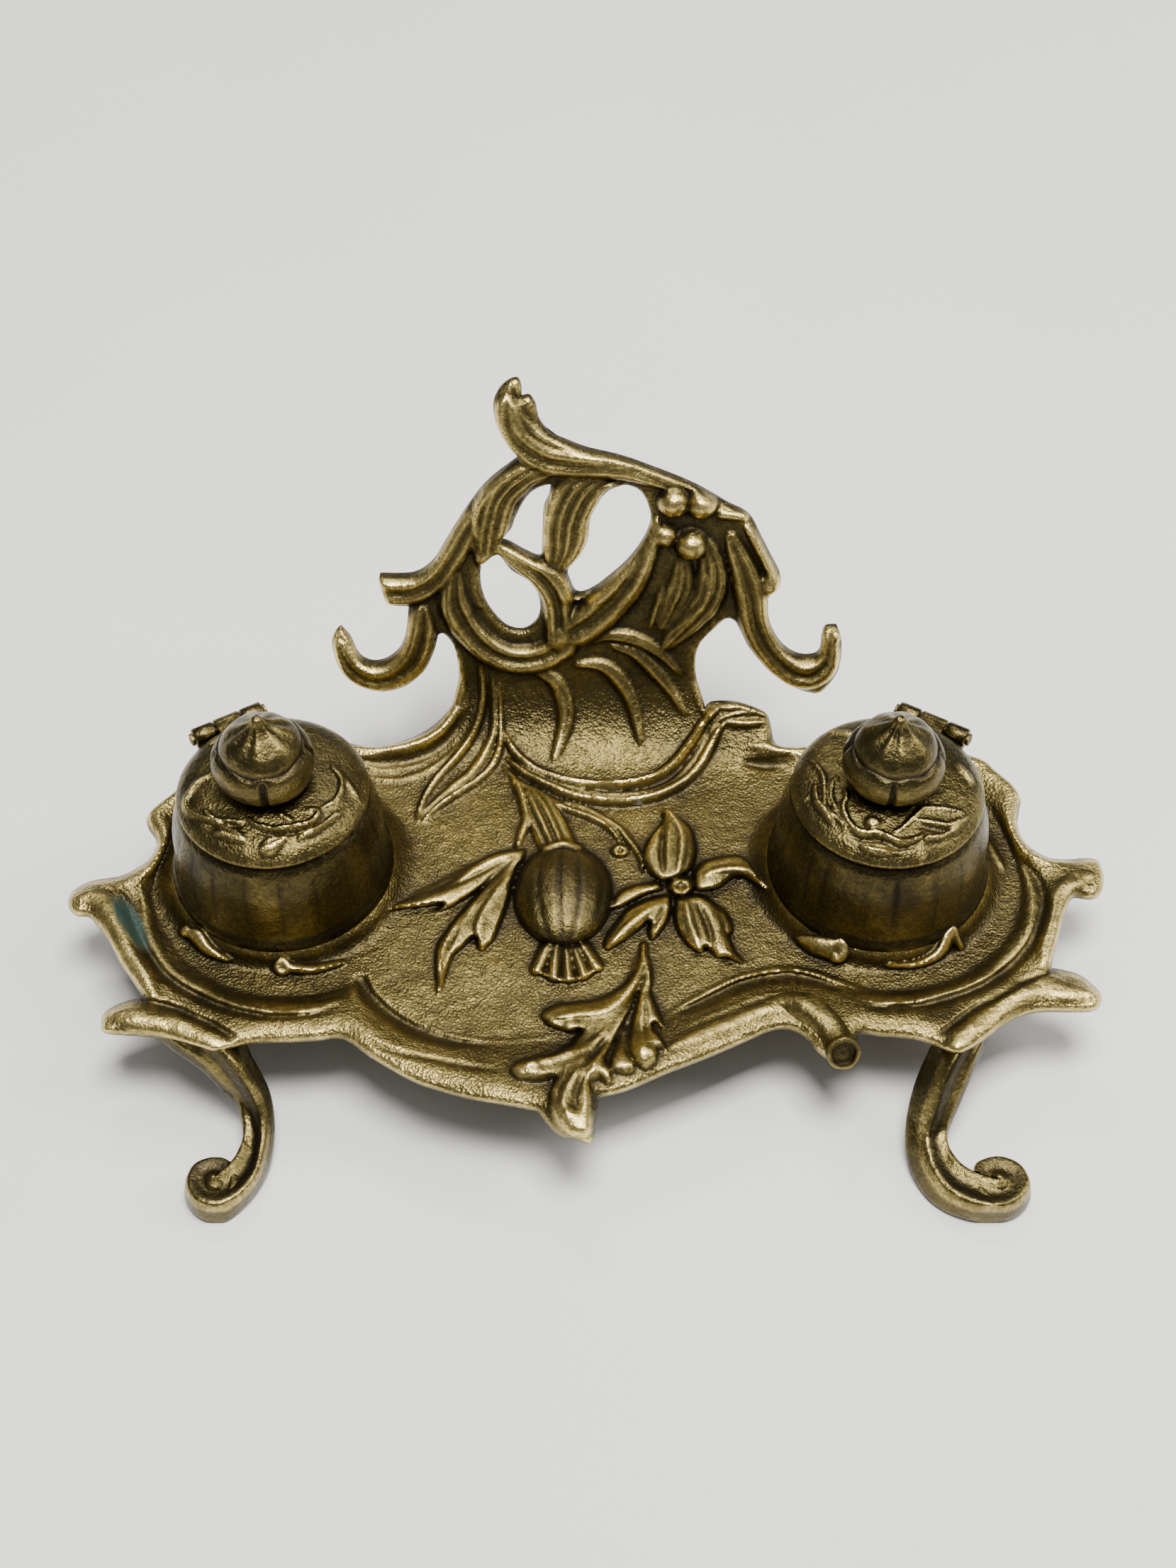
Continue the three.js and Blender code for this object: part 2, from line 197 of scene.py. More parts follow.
# ---- relief ----
class Relief:
    """Heights over a grid in the casting's own plane, x across and s along the sheet."""

    def __init__(self, x_range, s_range, step):
        self.step = step
        self.x = np.arange(x_range[0], x_range[1], step)
        self.s = np.arange(s_range[0], s_range[1], step)
        self.ground = np.zeros((len(self.s), len(self.x)))
        self.raised = np.zeros_like(self.ground)
        self.cut = np.zeros_like(self.ground)
        self.painted_shade = np.zeros_like(self.ground)
        self.height = None
        self.wear = None
        self.grain = None

    def window(self, line, margin):
        """The part of the grid that lies within a margin of a line."""
        low, high = line.min(0) - margin, line.max(0) + margin
        cols = slice(*np.searchsorted(self.x, (low[0], high[0])))
        rows = slice(*np.searchsorted(self.s, (low[1], high[1])))
        return rows, cols

    def measure(self, line, reach):
        """Around a line: the grid window, the distance, the share of the length and the side."""
        sizes = np.linalg.norm(np.diff(line, axis=0), axis=1)
        starts = np.concatenate([[0], np.cumsum(sizes)])
        spot = self.window(line, reach)
        shape = self.ground[spot].shape
        best, along, side = np.full(shape, reach ** 2), np.zeros(shape), np.ones(shape)
        top, left = spot[0].start, spot[1].start
        for i, (a, b) in enumerate(zip(line[:-1], line[1:])):
            rows, cols = self.window(np.array([a, b]), reach)
            local = (slice(rows.start - top, rows.stop - top), slice(cols.start - left, cols.stop - left))
            if 0 in best[local].shape or sizes[i] < 1e-9:
                continue
            xx = self.x[cols][None, :] - a[0]
            ss = self.s[rows][:, None] - a[1]
            dx, ds = b - a
            t = np.clip((xx * dx + ss * ds) / sizes[i] ** 2, 0, 1)
            px, ps = xx - t * dx, ss - t * ds
            square = px ** 2 + ps ** 2
            closer = square < best[local]
            best[local] = np.where(closer, square, best[local])
            along[local] = np.where(closer, (starts[i] + t * sizes[i]) / starts[-1], along[local])
            side[local] = np.where(closer, np.where(dx * ps - ds * px > 0, 1, -1), side[local])
        return spot, np.sqrt(best), along, side

    def ridge(self, points, width, height, start=0.25, end=0.25, over=False, bluff=1.0):
        """A rib along a line, narrowing over the start and end shares of its length."""
        spot, distance, along, _ = self.measure(smooth(points), width)
        size = taper(along, start, end)
        section = np.clip(1 - (distance / (width * size)) ** 2, 0, 1) ** bluff
        value = height * size ** 0.6 * section
        if over:
            self.raised[spot] += value
        else:
            self.raised[spot] = np.maximum(self.raised[spot], value)

    def groove(self, points, width, depth, start=0.25, end=0.25):
        """A rounded cut along a line."""
        spot, distance, along, _ = self.measure(smooth(points), width)
        size = taper(along, start, end)
        value = depth * size * np.clip(1 - (distance / (width * size)) ** 2, 0, 1)
        self.cut[spot] = np.maximum(self.cut[spot], value)

    def pad(self, runs, lift, edge=1.4, dome=0.8, reach=6.0):
        """A leaf or petal: rounded at its edge and gently domed."""
        loop = outline(runs)
        spot, distance, _, _ = self.measure(ringed(loop), reach)
        within = inside([loop], self.x[spot[1]], self.s[spot[0]])
        rim = 1 - np.clip(distance / edge, 0, 1)
        crown = 1 - np.clip(distance / reach, 0, 1)
        value = lift * np.sqrt(1 - rim ** 2) + dome * (1 - crown ** 2)
        self.raised[spot] = np.maximum(self.raised[spot], np.where(within, value, 0))

    def blade(self, points, width, height, flutes, start, end, flute_width=0.13, depth=0.38):
        """A broad leaf or stem along a line, with flutes at the given shares of its half width."""
        spot, distance, along, side = self.measure(smooth(points), width)
        size = taper(along, start, end)
        across = side * distance / (width * size)
        value = height * size ** 0.6 * np.clip(1 - across ** 2, 0, 1) ** 0.5
        for flute in flutes:
            value = value * (1 - depth * np.exp(-((across - flute) / flute_width) ** 2))
        self.raised[spot] = np.maximum(self.raised[spot], value)

    def channel(self, points, width, height, middle=0.0, start=0.25, end=0.25):
        """A stem that is hollowed along its middle and so has two bright edges."""
        self.blade(points, width, 1.3 * height, (middle,), start, end, 0.34, 0.42)

    def knob(self, centre, radius, height, longer=1.0, bluff=0.5, over=False):
        """A round boss, or an oval one where it is longer."""
        away = np.hypot(self.x[None, :] - centre[0], (self.s[:, None] - centre[1]) / longer) / radius
        value = height * np.clip(1 - away ** 2, 0, 1) ** bluff
        self.raised = self.raised + value if over else np.maximum(self.raised, value)

    def pit(self, centre, radius, depth):
        """A round hollow."""
        away = np.hypot(self.x[None, :] - centre[0], self.s[:, None] - centre[1]) / radius
        self.cut = np.maximum(self.cut, depth * np.clip(1 - away ** 2, 0, 1))

    def finish(self, soften=0.6, roughness=0.10):
        """Adds the cast surface's unevenness and works out the height of every point and its colour level:
        painted shade in the hollows and painted highlights on the ridges, over brown patina and rubbed
        wear.
        """
        uneven = sum(blurred(random.standard_normal(self.ground.shape), size) * size * share
                     for size, share in ((1.6, 0.8), (3.0, 1.5), (8, 1.8)))
        ornament = blurred(self.raised - self.cut, soften)
        self.height = blurred(self.ground, soften) + ornament + roughness * uneven
        fine = self.height - blurred(self.height, 1.4 / self.step)
        broad = self.height - blurred(self.height, 4.0 / self.step)
        # painted shade and highlight: a point is made darker the deeper it lies below its neighbours and
        # lighter the more it stands above them
        bulge = 1.1 * fine + 0.18 * broad
        self.wear = 0.5 + 0.5 * np.tanh(np.where(bulge < 0, 0.5 * bulge, bulge)) - self.painted_shade
        self.grain = ease(0.7, 0.1, blurred(self.raised + self.cut, 1.5))

    def sample(self, field, x, s):
        """Values of a field between the grid's points."""
        u = np.clip((x - self.x[0]) / self.step, 0, len(self.x) - 1.001)
        v = np.clip((s - self.s[0]) / self.step, 0, len(self.s) - 1.001)
        i, j = v.astype(int), u.astype(int)
        fv, fu = v - i, u - j
        return ((field[i, j] * (1 - fu) + field[i, j + 1] * fu) * (1 - fv)
                + (field[i + 1, j] * (1 - fu) + field[i + 1, j + 1] * fu) * fv)


def taper(along, start, end):
    """How wide a line's mark is along its length, narrow in the start and end shares."""
    size = np.ones_like(along)
    if start:
        size = size * np.clip(along / start, 0, 1)
    if end:
        size = size * np.clip((1 - along) / end, 0, 1)
    return 0.15 + 0.85 * np.sqrt(size)


# ---- meshes ----
def piece(name, points, faces, layers, sharp):
    """A mesh object from millimetre points, with its wear and painted light, grain and patina kept per
    vertex.
    """
    mesh = bpy.data.meshes.new(name)
    mesh.from_pydata((np.asarray(points) * MM).tolist(), [], faces)
    for label, values in layers.items():
        layer = mesh.attributes.new(label, "FLOAT", "POINT")
        layer.data.foreach_set("value", np.asarray(values, np.float32))
    mesh.validate()
    mesh.shade_smooth()
    mesh.set_sharp_from_angle(angle=math.radians(sharp))
    thing = bpy.data.objects.new(name, mesh)
    bpy.context.scene.collection.objects.link(thing)
    return thing


def fix_normals(thing):
    """Every closed shell's faces turned to look outwards."""
    mesh = bmesh.new()
    mesh.from_mesh(thing.data)
    bmesh.ops.recalc_face_normals(mesh, faces=mesh.faces[:])
    mesh.to_mesh(thing.data)
    mesh.free()


def place_piece(thing, body, slot, material, *nodes):
    """The finished piece, with its material, on its body and in place of its CAD nodes."""
    fix_normals(thing)
    thing.data.materials.append(material)
    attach(thing, body)
    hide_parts(*nodes)


class Solid:
    """Closed shells gathered into one piece."""

    def __init__(self):
        self.points = []
        self.faces = []
        self.wear = []
        self.grain = []
        self.count = 0

    def add(self, points, faces, wear=0.5, grain=0.0):
        """One more shell, with its wear and painted light, and its grain, as a number or one for each
        point.
        """
        points = np.asarray(points, float)
        self.points.append(points)
        self.faces += [[self.count + k for k in face] for face in faces]
        self.wear.append(np.broadcast_to(wear, len(points)))
        self.grain.append(np.broadcast_to(grain, len(points)))
        self.count += len(points)
        return self

    def make(self, name, sharp):
        """The piece itself, with edges steeper than the angle kept sharp."""
        points = np.vstack(self.points)
        layers = {"wear": np.concatenate(self.wear), "grain": np.concatenate(self.grain)}
        return piece(name, points, self.faces, layers, sharp)


def on_sheet(x, s, h):
    """Plan points of the casting's sheet: flat at the front, then bent up into the gallery."""
    x, s, h = (np.asarray(v, float) for v in (x, s, h))
    angle = np.clip((s - BEND_START) / BEND_RADIUS, 0, BEND_ANGLE)
    beyond = np.maximum(s - BEND_START - BEND_RADIUS * BEND_ANGLE, 0)
    radius = BEND_RADIUS - h
    y = np.minimum(s, BEND_START) + radius * np.sin(angle) + beyond * math.cos(BEND_ANGLE)
    z = RIM_Z + BEND_RADIUS - radius * np.cos(angle) + beyond * math.sin(BEND_ANGLE)
    y = y + VIEW_SLANT * np.maximum(-h, 0) * (1 - ease(5, 35, s))
    return np.column_stack([x, y + shift_y, z])


def snapped(points, loops):
    """Each point moved to the nearest place on the loops."""
    best = np.full(len(points), 1e9)
    result = points.copy()
    for loop in loops:
        for a, b in zip(loop, np.roll(loop, -1, 0)):
            d = b - a
            t = np.clip((points - a) @ d / max(d @ d, 1e-9), 0, 1)
            place = a + t[:, None] * d
            square = ((points - place) ** 2).sum(1)
            closer = square < best
            best[closer] = square[closer]
            result[closer] = place[closer]
    return result


def border_rings(cells):
    """The loops of grid corners round a set of cells, as (row, column) pairs."""
    filled = np.pad(cells, 1)
    following = {}
    rows, cols = np.nonzero(cells)
    for i, j in zip(rows.tolist(), cols.tolist()):
        if not filled[i, j + 1]:
            following[(i, j)] = (i, j + 1)
        if not filled[i + 1, j + 2]:
            following[(i, j + 1)] = (i + 1, j + 1)
        if not filled[i + 2, j + 1]:
            following[(i + 1, j + 1)] = (i + 1, j)
        if not filled[i + 1, j]:
            following[(i + 1, j)] = (i, j)
    rings = []
    while following:
        start = next(iter(following))
        ring, at = [start], following.pop(start)
        while at != start:
            ring.append(at)
            at = following.pop(at)
        rings.append(ring)
    return rings


def filled_corners(cells):
    """Cells that touch only at a corner are joined, so that every border is one clean loop."""
    while True:
        a, b, c, d = cells[:-1, :-1], cells[:-1, 1:], cells[1:, :-1], cells[1:, 1:]
        falling, rising = a & d & ~b & ~c, b & c & ~a & ~d
        if not (falling | rising).any():
            return cells
        cells = cells.copy()
        cells[:-1, 1:] |= falling
        cells[:-1, :-1] |= rising


def back_of(s):
    """The sheet's back, thick under the tray and thinner up the gallery."""
    return -SHEET_THICKNESS + (SHEET_THICKNESS + GALLERY_BACK) * ease(45, 66, s)


def cut_front(relief, loops):
    """The grid's cells inside the loops, their points and quads, and the rings of points at the edges."""
    middle_x, middle_s = relief.x[:-1] + relief.step / 2, relief.s[:-1] + relief.step / 2
    cells = filled_corners(inside(loops, middle_x, middle_s))
    used = np.zeros(relief.ground.shape, bool)
    for i in (0, 1):
        for j in (0, 1):
            used[i:len(relief.s) - 1 + i, j:len(relief.x) - 1 + j] |= cells
    number = np.full(used.shape, -1)
    number[used] = np.arange(used.sum())
    rows, cols = np.nonzero(used)
    flat = np.column_stack([relief.x[cols], relief.s[rows]])
    rings = [[int(number[corner]) for corner in ring] for ring in border_rings(cells)]
    rim = np.concatenate(rings)
    flat[rim] = snapped(flat[rim], loops)
    i, j = np.nonzero(cells)
    corners = (number[i, j], number[i, j + 1], number[i + 1, j + 1], number[i + 1, j])
    return cells, flat, np.column_stack(corners).tolist(), rings


def plain_back(relief, cells, flat, rings):
    """The back's points, with the rings' own first, and its triangles, on a coarser grid."""
    edge_x = np.arange(relief.x[0], relief.x[-1], BACK_GRID)
    edge_s = np.arange(relief.s[0], relief.s[-1], BACK_GRID)
    xx, ss = np.meshgrid(edge_x, edge_s)
    core = blurred(cells.astype(float), 2.0) > 0.995
    column = np.clip(((xx - relief.x[0]) / relief.step).astype(int), 0, cells.shape[1] - 1)
    row = np.clip(((ss - relief.s[0]) / relief.step).astype(int), 0, cells.shape[0] - 1)
    kept = core[row, column]
    back = np.vstack([flat[np.concatenate(rings)], np.column_stack([xx[kept], ss[kept]])])
    links, at = [], 0
    for ring in rings:
        links += [(at + k, at + (k + 1) % len(ring)) for k in range(len(ring))]
        at += len(ring)
    found = delaunay_2d_cdt([Vector(p) for p in back.tolist()], links, [], 0, 1e-5)
    places, triangles, origins = np.array([tuple(v) for v in found[0]]), found[2], found[3]
    target = np.array([o[0] if o else len(back) for o in origins])
    faces = []
    for triangle in triangles:
        x, s = places[list(triangle)].mean(0)
        i, j = int((s - relief.s[0]) / relief.step), int((x - relief.x[0]) / relief.step)
        if cells[i, j] and (target[list(triangle)] < len(back)).all():
            faces.append([int(target[k]) for k in reversed(triangle)])
    return back, faces


def cast_plate(relief, loops):
    """A closed casting: the relief's front cut to the outline, its edge and a plain back."""
    cells, flat, faces, rings = cut_front(relief, loops)
    back, triangles = plain_back(relief, cells, flat, rings)
    faces += [[len(flat) + k for k in triangle] for triangle in triangles]
    at = len(flat)
    for ring in rings:
        for k in range(len(ring)):
            following = (k + 1) % len(ring)
            faces.append([ring[following], ring[k], at + k, at + following])
        at += len(ring)
    front = on_sheet(*flat.T, relief.sample(relief.height, *flat.T))
    behind = on_sheet(*back.T, back_of(back[:, 1]))
    layers = {}
    for label, field, plain in (("wear", relief.wear, 0.42), ("grain", relief.grain, 0.4)):
        shown = relief.sample(field, *flat.T)
        layers[label] = np.concatenate([shown, np.full(len(back), plain)])
    side, along = (flat - STAIN_CENTRE).T
    spot = np.hypot(side / STAIN_SIZE[0] + STAIN_SLANT * along, along / STAIN_SIZE[1])
    layers["patina"] = np.concatenate([ease(1.1, 0.6, spot), np.zeros(len(back))])
    return np.vstack([front, behind]), faces, layers


def band(size, start, following):
    """The quads between two rings of the same size, given where each ring's points start."""
    pairs = [(k, (k + 1) % size) for k in range(size)]
    return [[start + k, start + n, following + n, following + k] for k, n in pairs]


def revolve(profile, segments, closed=False):
    """A turned shell about the z axis; a profile that isn't closed starts and ends on the axis."""
    profile = np.asarray(profile, float)
    angle = np.arange(segments) * 2 * math.pi / segments
    rows = profile if closed else profile[1:-1]
    points = np.array([[r * math.cos(a), r * math.sin(a), z] for r, z in rows for a in angle])
    count = len(rows)
    faces = []
    for i in range(count if closed else count - 1):
        faces += band(segments, i * segments, ((i + 1) % count) * segments)
    if not closed:
        first, last = len(points), len(points) + 1
        points = np.vstack([points, [[0, 0, profile[0][1]], [0, 0, profile[-1][1]]]])
        top = (count - 1) * segments
        for k in range(segments):
            n = (k + 1) % segments
            faces.append([first, n, k])
            faces.append([last, top + k, top + n])
    return points, faces


def bevelled_block(size, centre, bevel):
    """A block with rounded edges."""
    mesh = bmesh.new()
    bmesh.ops.create_cube(mesh, size=1.0)
    bmesh.ops.scale(mesh, vec=size, verts=mesh.verts)
    bmesh.ops.bevel(mesh, geom=mesh.edges[:], offset=bevel, segments=3, profile=0.5, affect="EDGES")
    mesh.verts.ensure_lookup_table()
    points = np.array([tuple(v.co) for v in mesh.verts]) + centre
    faces = [[v.index for v in face.verts] for face in mesh.faces]
    mesh.free()
    return points, faces


def about_well(points, side):
    """Points from a well's own axes to the frame: turned outwards and moved to their place."""
    turn = HINGE_TURN if side == "left" else -HINGE_TURN
    c, s = math.cos(turn), math.sin(turn)
    x, y, z = np.asarray(points, float).T
    return np.column_stack([well_x[side] + c * x - s * y, WELL_Y + shift_y + s * x + c * y, z])


def on_well(shell, side):
    """A whole shell from a well's own axes to the frame."""
    points, faces = shell
    return about_well(points, side), faces


# ---- materials ----
def add_node(tree, kind, **settings):
    """A new shader node with its settings."""
    node = tree.nodes.new(kind)
    for key, value in settings.items():
        setattr(node, key, value)
    return node


def ramp(tree, source, stops):
    """A colour ramp from (position, colour) stops."""
    node = add_node(tree, "ShaderNodeValToRGB")
    elements = node.color_ramp.elements
    while len(elements) < len(stops):
        elements.new(0.5)
    for element, (at, colour) in zip(elements, stops):
        element.position = at
        element.color = (*colour, 1)
    tree.links.new(source, node.inputs["Fac"])
    return node.outputs["Color"]


def noise(tree, scale, detail, roughness=0.55):
    """Noise that is fixed to the object."""
    node = add_node(tree, "ShaderNodeTexNoise")
    node.inputs["Scale"].default_value = scale
    node.inputs["Detail"].default_value = detail
    node.inputs["Roughness"].default_value = roughness
    tree.links.new(tree.nodes["Coordinates"].outputs["Object"], node.inputs["Vector"])
    return node.outputs["Fac"]


def math_node(tree, operation, first, second, clamp=False):
    """A sum or product of two sockets or numbers."""
    node = add_node(tree, "ShaderNodeMath", operation=operation, use_clamp=clamp)
    for socket, value in zip(node.inputs, (first, second)):
        if isinstance(value, (int, float)):
            socket.default_value = value
        else:
            tree.links.new(value, socket)
    return node.outputs[0]


def spread(tree, source, amount):
    """A noise centred on nought and scaled."""
    return math_node(tree, "MULTIPLY", math_node(tree, "SUBTRACT", source, 0.5), amount)


def attribute(tree, name):
    """A value that the mesh carries for each of its points."""
    return add_node(tree, "ShaderNodeAttribute", attribute_name=name).outputs["Fac"]


def bump(tree, shader, height, strength, distance):
    """Fine unevenness for the whole material."""
    node = add_node(tree, "ShaderNodeBump")
    node.inputs["Strength"].default_value = strength
    node.inputs["Distance"].default_value = distance
    tree.links.new(height, node.inputs["Height"])
    tree.links.new(node.outputs["Normal"], shader.inputs["Normal"])


def material(name):
    """A new material, its node tree and its shader."""
    made = bpy.data.materials.new(name)
    made.use_nodes = True
    tree = made.node_tree
    add_node(tree, "ShaderNodeTexCoord", name="Coordinates")
    return made, tree, tree.nodes["Principled BSDF"]


def aged_brass(name, tone=1.0, polish_and_painted_light=0.0, smoothness=0.0):
    """Cast brass, brown in its hollows and rubbed bright along its edges, with painted shade and painted
    highlights on top of that.
    """
    made, tree, shader = material(name)
    # per-vertex level: painted shade in hollows and painted highlights on ridges, over patina and rubbed
    # wear
    wear = attribute(tree, "wear")
    grain = attribute(tree, "grain")
    patina = attribute(tree, "patina")
    cloud = noise(tree, 55, 5)
    speck = noise(tree, 1100, 3, 0.6)
    streak = noise(tree, 300, 5, 0.65)
    # the colour level: the mesh's wear and painted light, random tone, and a shift that darkens the shaded
    # copies as painted shade
    bright = math_node(tree, "ADD", wear, spread(tree, cloud, 0.5))
    bright = math_node(tree, "ADD", bright, spread(tree, streak, 0.45))
    bright = math_node(tree, "ADD", bright, spread(tree, speck, 0.40))
    bright = math_node(tree, "ADD", bright, polish_and_painted_light, clamp=True)
    # the lower stops are scaled by the tone, so a tone below one is painted shade; the top stop is the
    # painted highlight colour of lit ridges
    colour = ramp(tree, bright, [
        (0.08, (0.048 * tone, 0.039 * tone, 0.025 * tone)),
        (0.30, (0.100 * tone, 0.080 * tone, 0.039 * tone)),
        (0.52, (0.205 * tone, 0.161 * tone, 0.056 * tone)),
        (0.74, (0.480 * tone, 0.376 * tone, 0.130 * tone)),
        (1.00, (0.800, 0.625, 0.230)),
    ])
    stain = math_node(tree, "MULTIPLY", patina, math_node(tree, "ADD", cloud, streak), clamp=True)
    mix = add_node(tree, "ShaderNodeMix", data_type="RGBA")
    tree.links.new(stain, mix.inputs["Factor"])
    tree.links.new(colour, mix.inputs["A"])
    mix.inputs["B"].default_value = (0.022, 0.048, 0.038, 1)
    tree.links.new(mix.outputs["Result"], shader.inputs["Base Color"])
    metallic = math_node(tree, "SUBTRACT", 1.0, math_node(tree, "MULTIPLY", stain, 0.8))
    tree.links.new(metallic, shader.inputs["Metallic"])
    rubbed = math_node(tree, "ADD", bright, spread(tree, streak, 0.4), clamp=True)
    rough = ramp(tree, rubbed, [
        (0.00, (0.54 - smoothness,) * 3),
        (0.45, (0.36 - smoothness,) * 3),
        (1.00, (0.26 - smoothness / 2,) * 3),
    ])
    tree.links.new(rough, shader.inputs["Roughness"])
    pits = add_node(tree, "ShaderNodeTexVoronoi")
    pits.inputs["Scale"].default_value = 1300
    tree.links.new(tree.nodes["Coordinates"].outputs["Object"], pits.inputs["Vector"])
    pebbles = math_node(tree, "MULTIPLY", pits.outputs["Distance"], grain)
    scars = math_node(tree, "MULTIPLY", streak, cloud)
    height = math_node(tree, "ADD", math_node(tree, "MULTIPLY", scars, 2.0),
                       math_node(tree, "MULTIPLY", speck, 0.30))
    height = math_node(tree, "ADD", math_node(tree, "MULTIPLY", pebbles, 0.35), height)
    bump(tree, shader, height, 0.9, 0.0005)
    return made


def plain_metal(name, low, high, roughness):
    """Pins, nuts and screws: a brushed, slightly blotched metal."""
    made, tree, shader = material(name)
    blotch = noise(tree, 420, 5)
    tree.links.new(ramp(tree, blotch, [(0.3, low), (0.7, high)]), shader.inputs["Base Color"])
    shader.inputs["Metallic"].default_value = 1.0
    shade = ramp(tree, blotch, [(0.2, (roughness + 0.15,) * 3), (0.8, (roughness - 0.08,) * 3)])
    tree.links.new(shade, shader.inputs["Roughness"])
    bump(tree, shader, noise(tree, 2500, 3), 0.3, 0.0002)
    return made


def stained_glass(name):
    """Moulded glass liner with a faint ink stain."""
    made, tree, shader = material(name)
    stain = ramp(tree, noise(tree, 120, 4), [(0.35, (0.80, 0.88, 0.84)), (0.75, (0.42, 0.46, 0.50))])
    tree.links.new(stain, shader.inputs["Base Color"])
    shader.inputs["Roughness"].default_value = 0.06
    shader.inputs["IOR"].default_value = 1.5
    shader.inputs["Transmission Weight"].default_value = 0.9
    return made


def floor_paper(name):
    """White paper, very slightly uneven."""
    made, tree, shader = material(name)
    white = ramp(tree, noise(tree, 5, 3), [(0.3, (0.84, 0.84, 0.815)), (0.7, (0.88, 0.88, 0.855))])
    tree.links.new(white, shader.inputs["Base Color"])
    shader.inputs["Roughness"].default_value = 0.75
    return made


brass = aged_brass("aged_brass", 0.63)
# painted shade: the lids, wells and legs are darker copies of the same brass, lower tone and shift matching
# how dark each piece looks
shaded_lid_brass = aged_brass("shaded_lid_brass", 0.58, -0.02, 0.05)
shaded_well_brass = aged_brass("shaded_well_brass", 0.38, -0.06, 0.10)
shaded_leg_brass = aged_brass("shaded_leg_brass", 0.46, -0.04, 0.05)
dark_brass = plain_metal("dark_brass", (0.10, 0.07, 0.03), (0.30, 0.23, 0.10), 0.42)
steel = plain_metal("screw_steel", (0.13, 0.12, 0.10), (0.32, 0.30, 0.27), 0.45)
glass = stained_glass("liner_glass")

# ---- the tray and gallery's outlines: smooth runs with a corner between two runs ----
# the seam that both share, then each one's edge from one end of the seam round to the other
SEAM = [(-37, 60.2), (-30, 57), (-24, 53.5), (-18, 46), (-10, 41), (0, 38.5), (10, 38), (18, 40), (25, 46),
        (30, 52.5), (32.5, 58)]

TRAY_EDGE = [
    [(-37.6, 61.6), (-42, 57), (-48, 53.5), (-56, 51), (-62, 50.5), (-68, 51.5), (-80, 53), (-96, 49),
     (-110, 41), (-117, 34), (-121.5, 28.5), (-121.5, 24), (-118.5, 18), (-118.5, 14), (-120, 10),
     (-123, 7), (-127, 4.5), (-134, 3), (-138, 0.5), (-139.7, -2), (-139.5, -6), (-137, -9),
     (-133.5, -9.5), (-130.5, -13), (-127, -18), (-123, -25), (-119, -31), (-116, -35.5)],
    [(-116, -35.5), (-119, -36), (-122.5, -37.5), (-125.5, -40), (-126, -43), (-124.5, -46.5),
     (-115, -47.5), (-108, -48.5), (-101, -50.5), (-95.5, -52), (-91, -51)],
    [(-91, -51), (-86, -49.8), (-80, -49.5), (-70, -49), (-63, -48.5), (-55, -54.5), (-45, -61),
     (-38, -64), (-30, -66.5), (-20, -68.5), (-13, -70)],
    [(-13, -70), (-8, -76.5), (-3, -78.5), (1, -79), (2, -73), (3, -66)],
    [(3, -66), (10, -64), (20, -59), (30, -54.5), (40, -49.5), (47, -46), (52, -45.5), (56, -48),
     (59, -52.5), (62.5, -55.2), (66.5, -54.6), (69, -51), (70, -47), (75, -47.5), (84, -48.6), (90, -51)],
    [(90, -51), (94, -52.8), (98, -51.6), (102, -48.8), (108, -44), (112, -41.5), (118, -40), (131, -39.7),
     (134, -35), (132, -31), (129, -28), (125, -26.5), (122, -26)],
    [(122, -26), (123, -22), (125, -16), (127, -10), (129, -5), (131, -3), (134, -3.5), (137, -3),
     (139.3, 1), (139.8, 6), (139, 10), (136, 11), (131, 10.5), (126, 11), (122, 14), (119.5, 18),
     (118.5, 24), (119.5, 30), (120.3, 34), (119, 38), (115, 43), (110, 47.5), (95, 51), (78, 52),
     (62, 50.5), (55, 50.5), (52.5, 52), (51.5, 56), (50, 59), (45, 61), (40, 62), (34, 61.5)],
]
GALLERY_EDGE = [
    [(-38, 61.9), (-36.3, 68), (-36.3, 74), (-37.5, 79), (-40, 82.5), (-41.5, 82.5)],
    [(-41.5, 82.5), (-43, 77), (-46, 71), (-50, 67), (-55, 65), (-60, 65), (-65, 67), (-69, 71),
     (-71.2, 79), (-70, 83), (-68.5, 84.5)],
    [(-68.5, 84.5), (-66, 81), (-64, 76), (-61, 73.7), (-57, 74), (-53, 77), (-51, 81), (-50, 86),
     (-49.5, 91)],
    [(-49.5, 91), (-53, 91), (-55, 92), (-57, 99), (-57, 100.5)],
    [(-57, 100.5), (-50, 100.5), (-46, 101.5), (-42, 105), (-39, 110), (-33, 120), (-27, 128),
     (-18, 135.5)],
    [(-18, 135.5), (-21, 139), (-24, 145), (-25, 150), (-23.5, 154), (-21, 156.5), (-18.5, 157.2),
     (-17.5, 155), (-17.5, 152)],
    [(-17.5, 152), (-15.5, 152.5), (-13.8, 150), (-13, 146), (-10, 142), (-5, 139.5), (0, 137.5),
     (8, 135.5), (15, 133), (28, 127.5), (38, 121.5), (42, 119.5), (44.5, 117), (47, 112), (50, 106),
     (52.5, 101), (52.5, 97.5), (49.5, 93.5)],
    [(49.5, 93.5), (49.7, 89), (51, 84), (54, 79), (58, 76), (62, 75.5), (64.5, 77), (65, 82), (66, 84.5),
     (69, 84.8)],
    [(69, 84.8), (70.5, 80), (70, 71), (66, 65), (62, 64.5), (56, 67), (50, 72), (45, 78), (42, 84),
     (40.5, 86.5), (38, 87), (34, 83), (31, 79), (30, 74), (30.5, 68), (33, 60.5)],
]
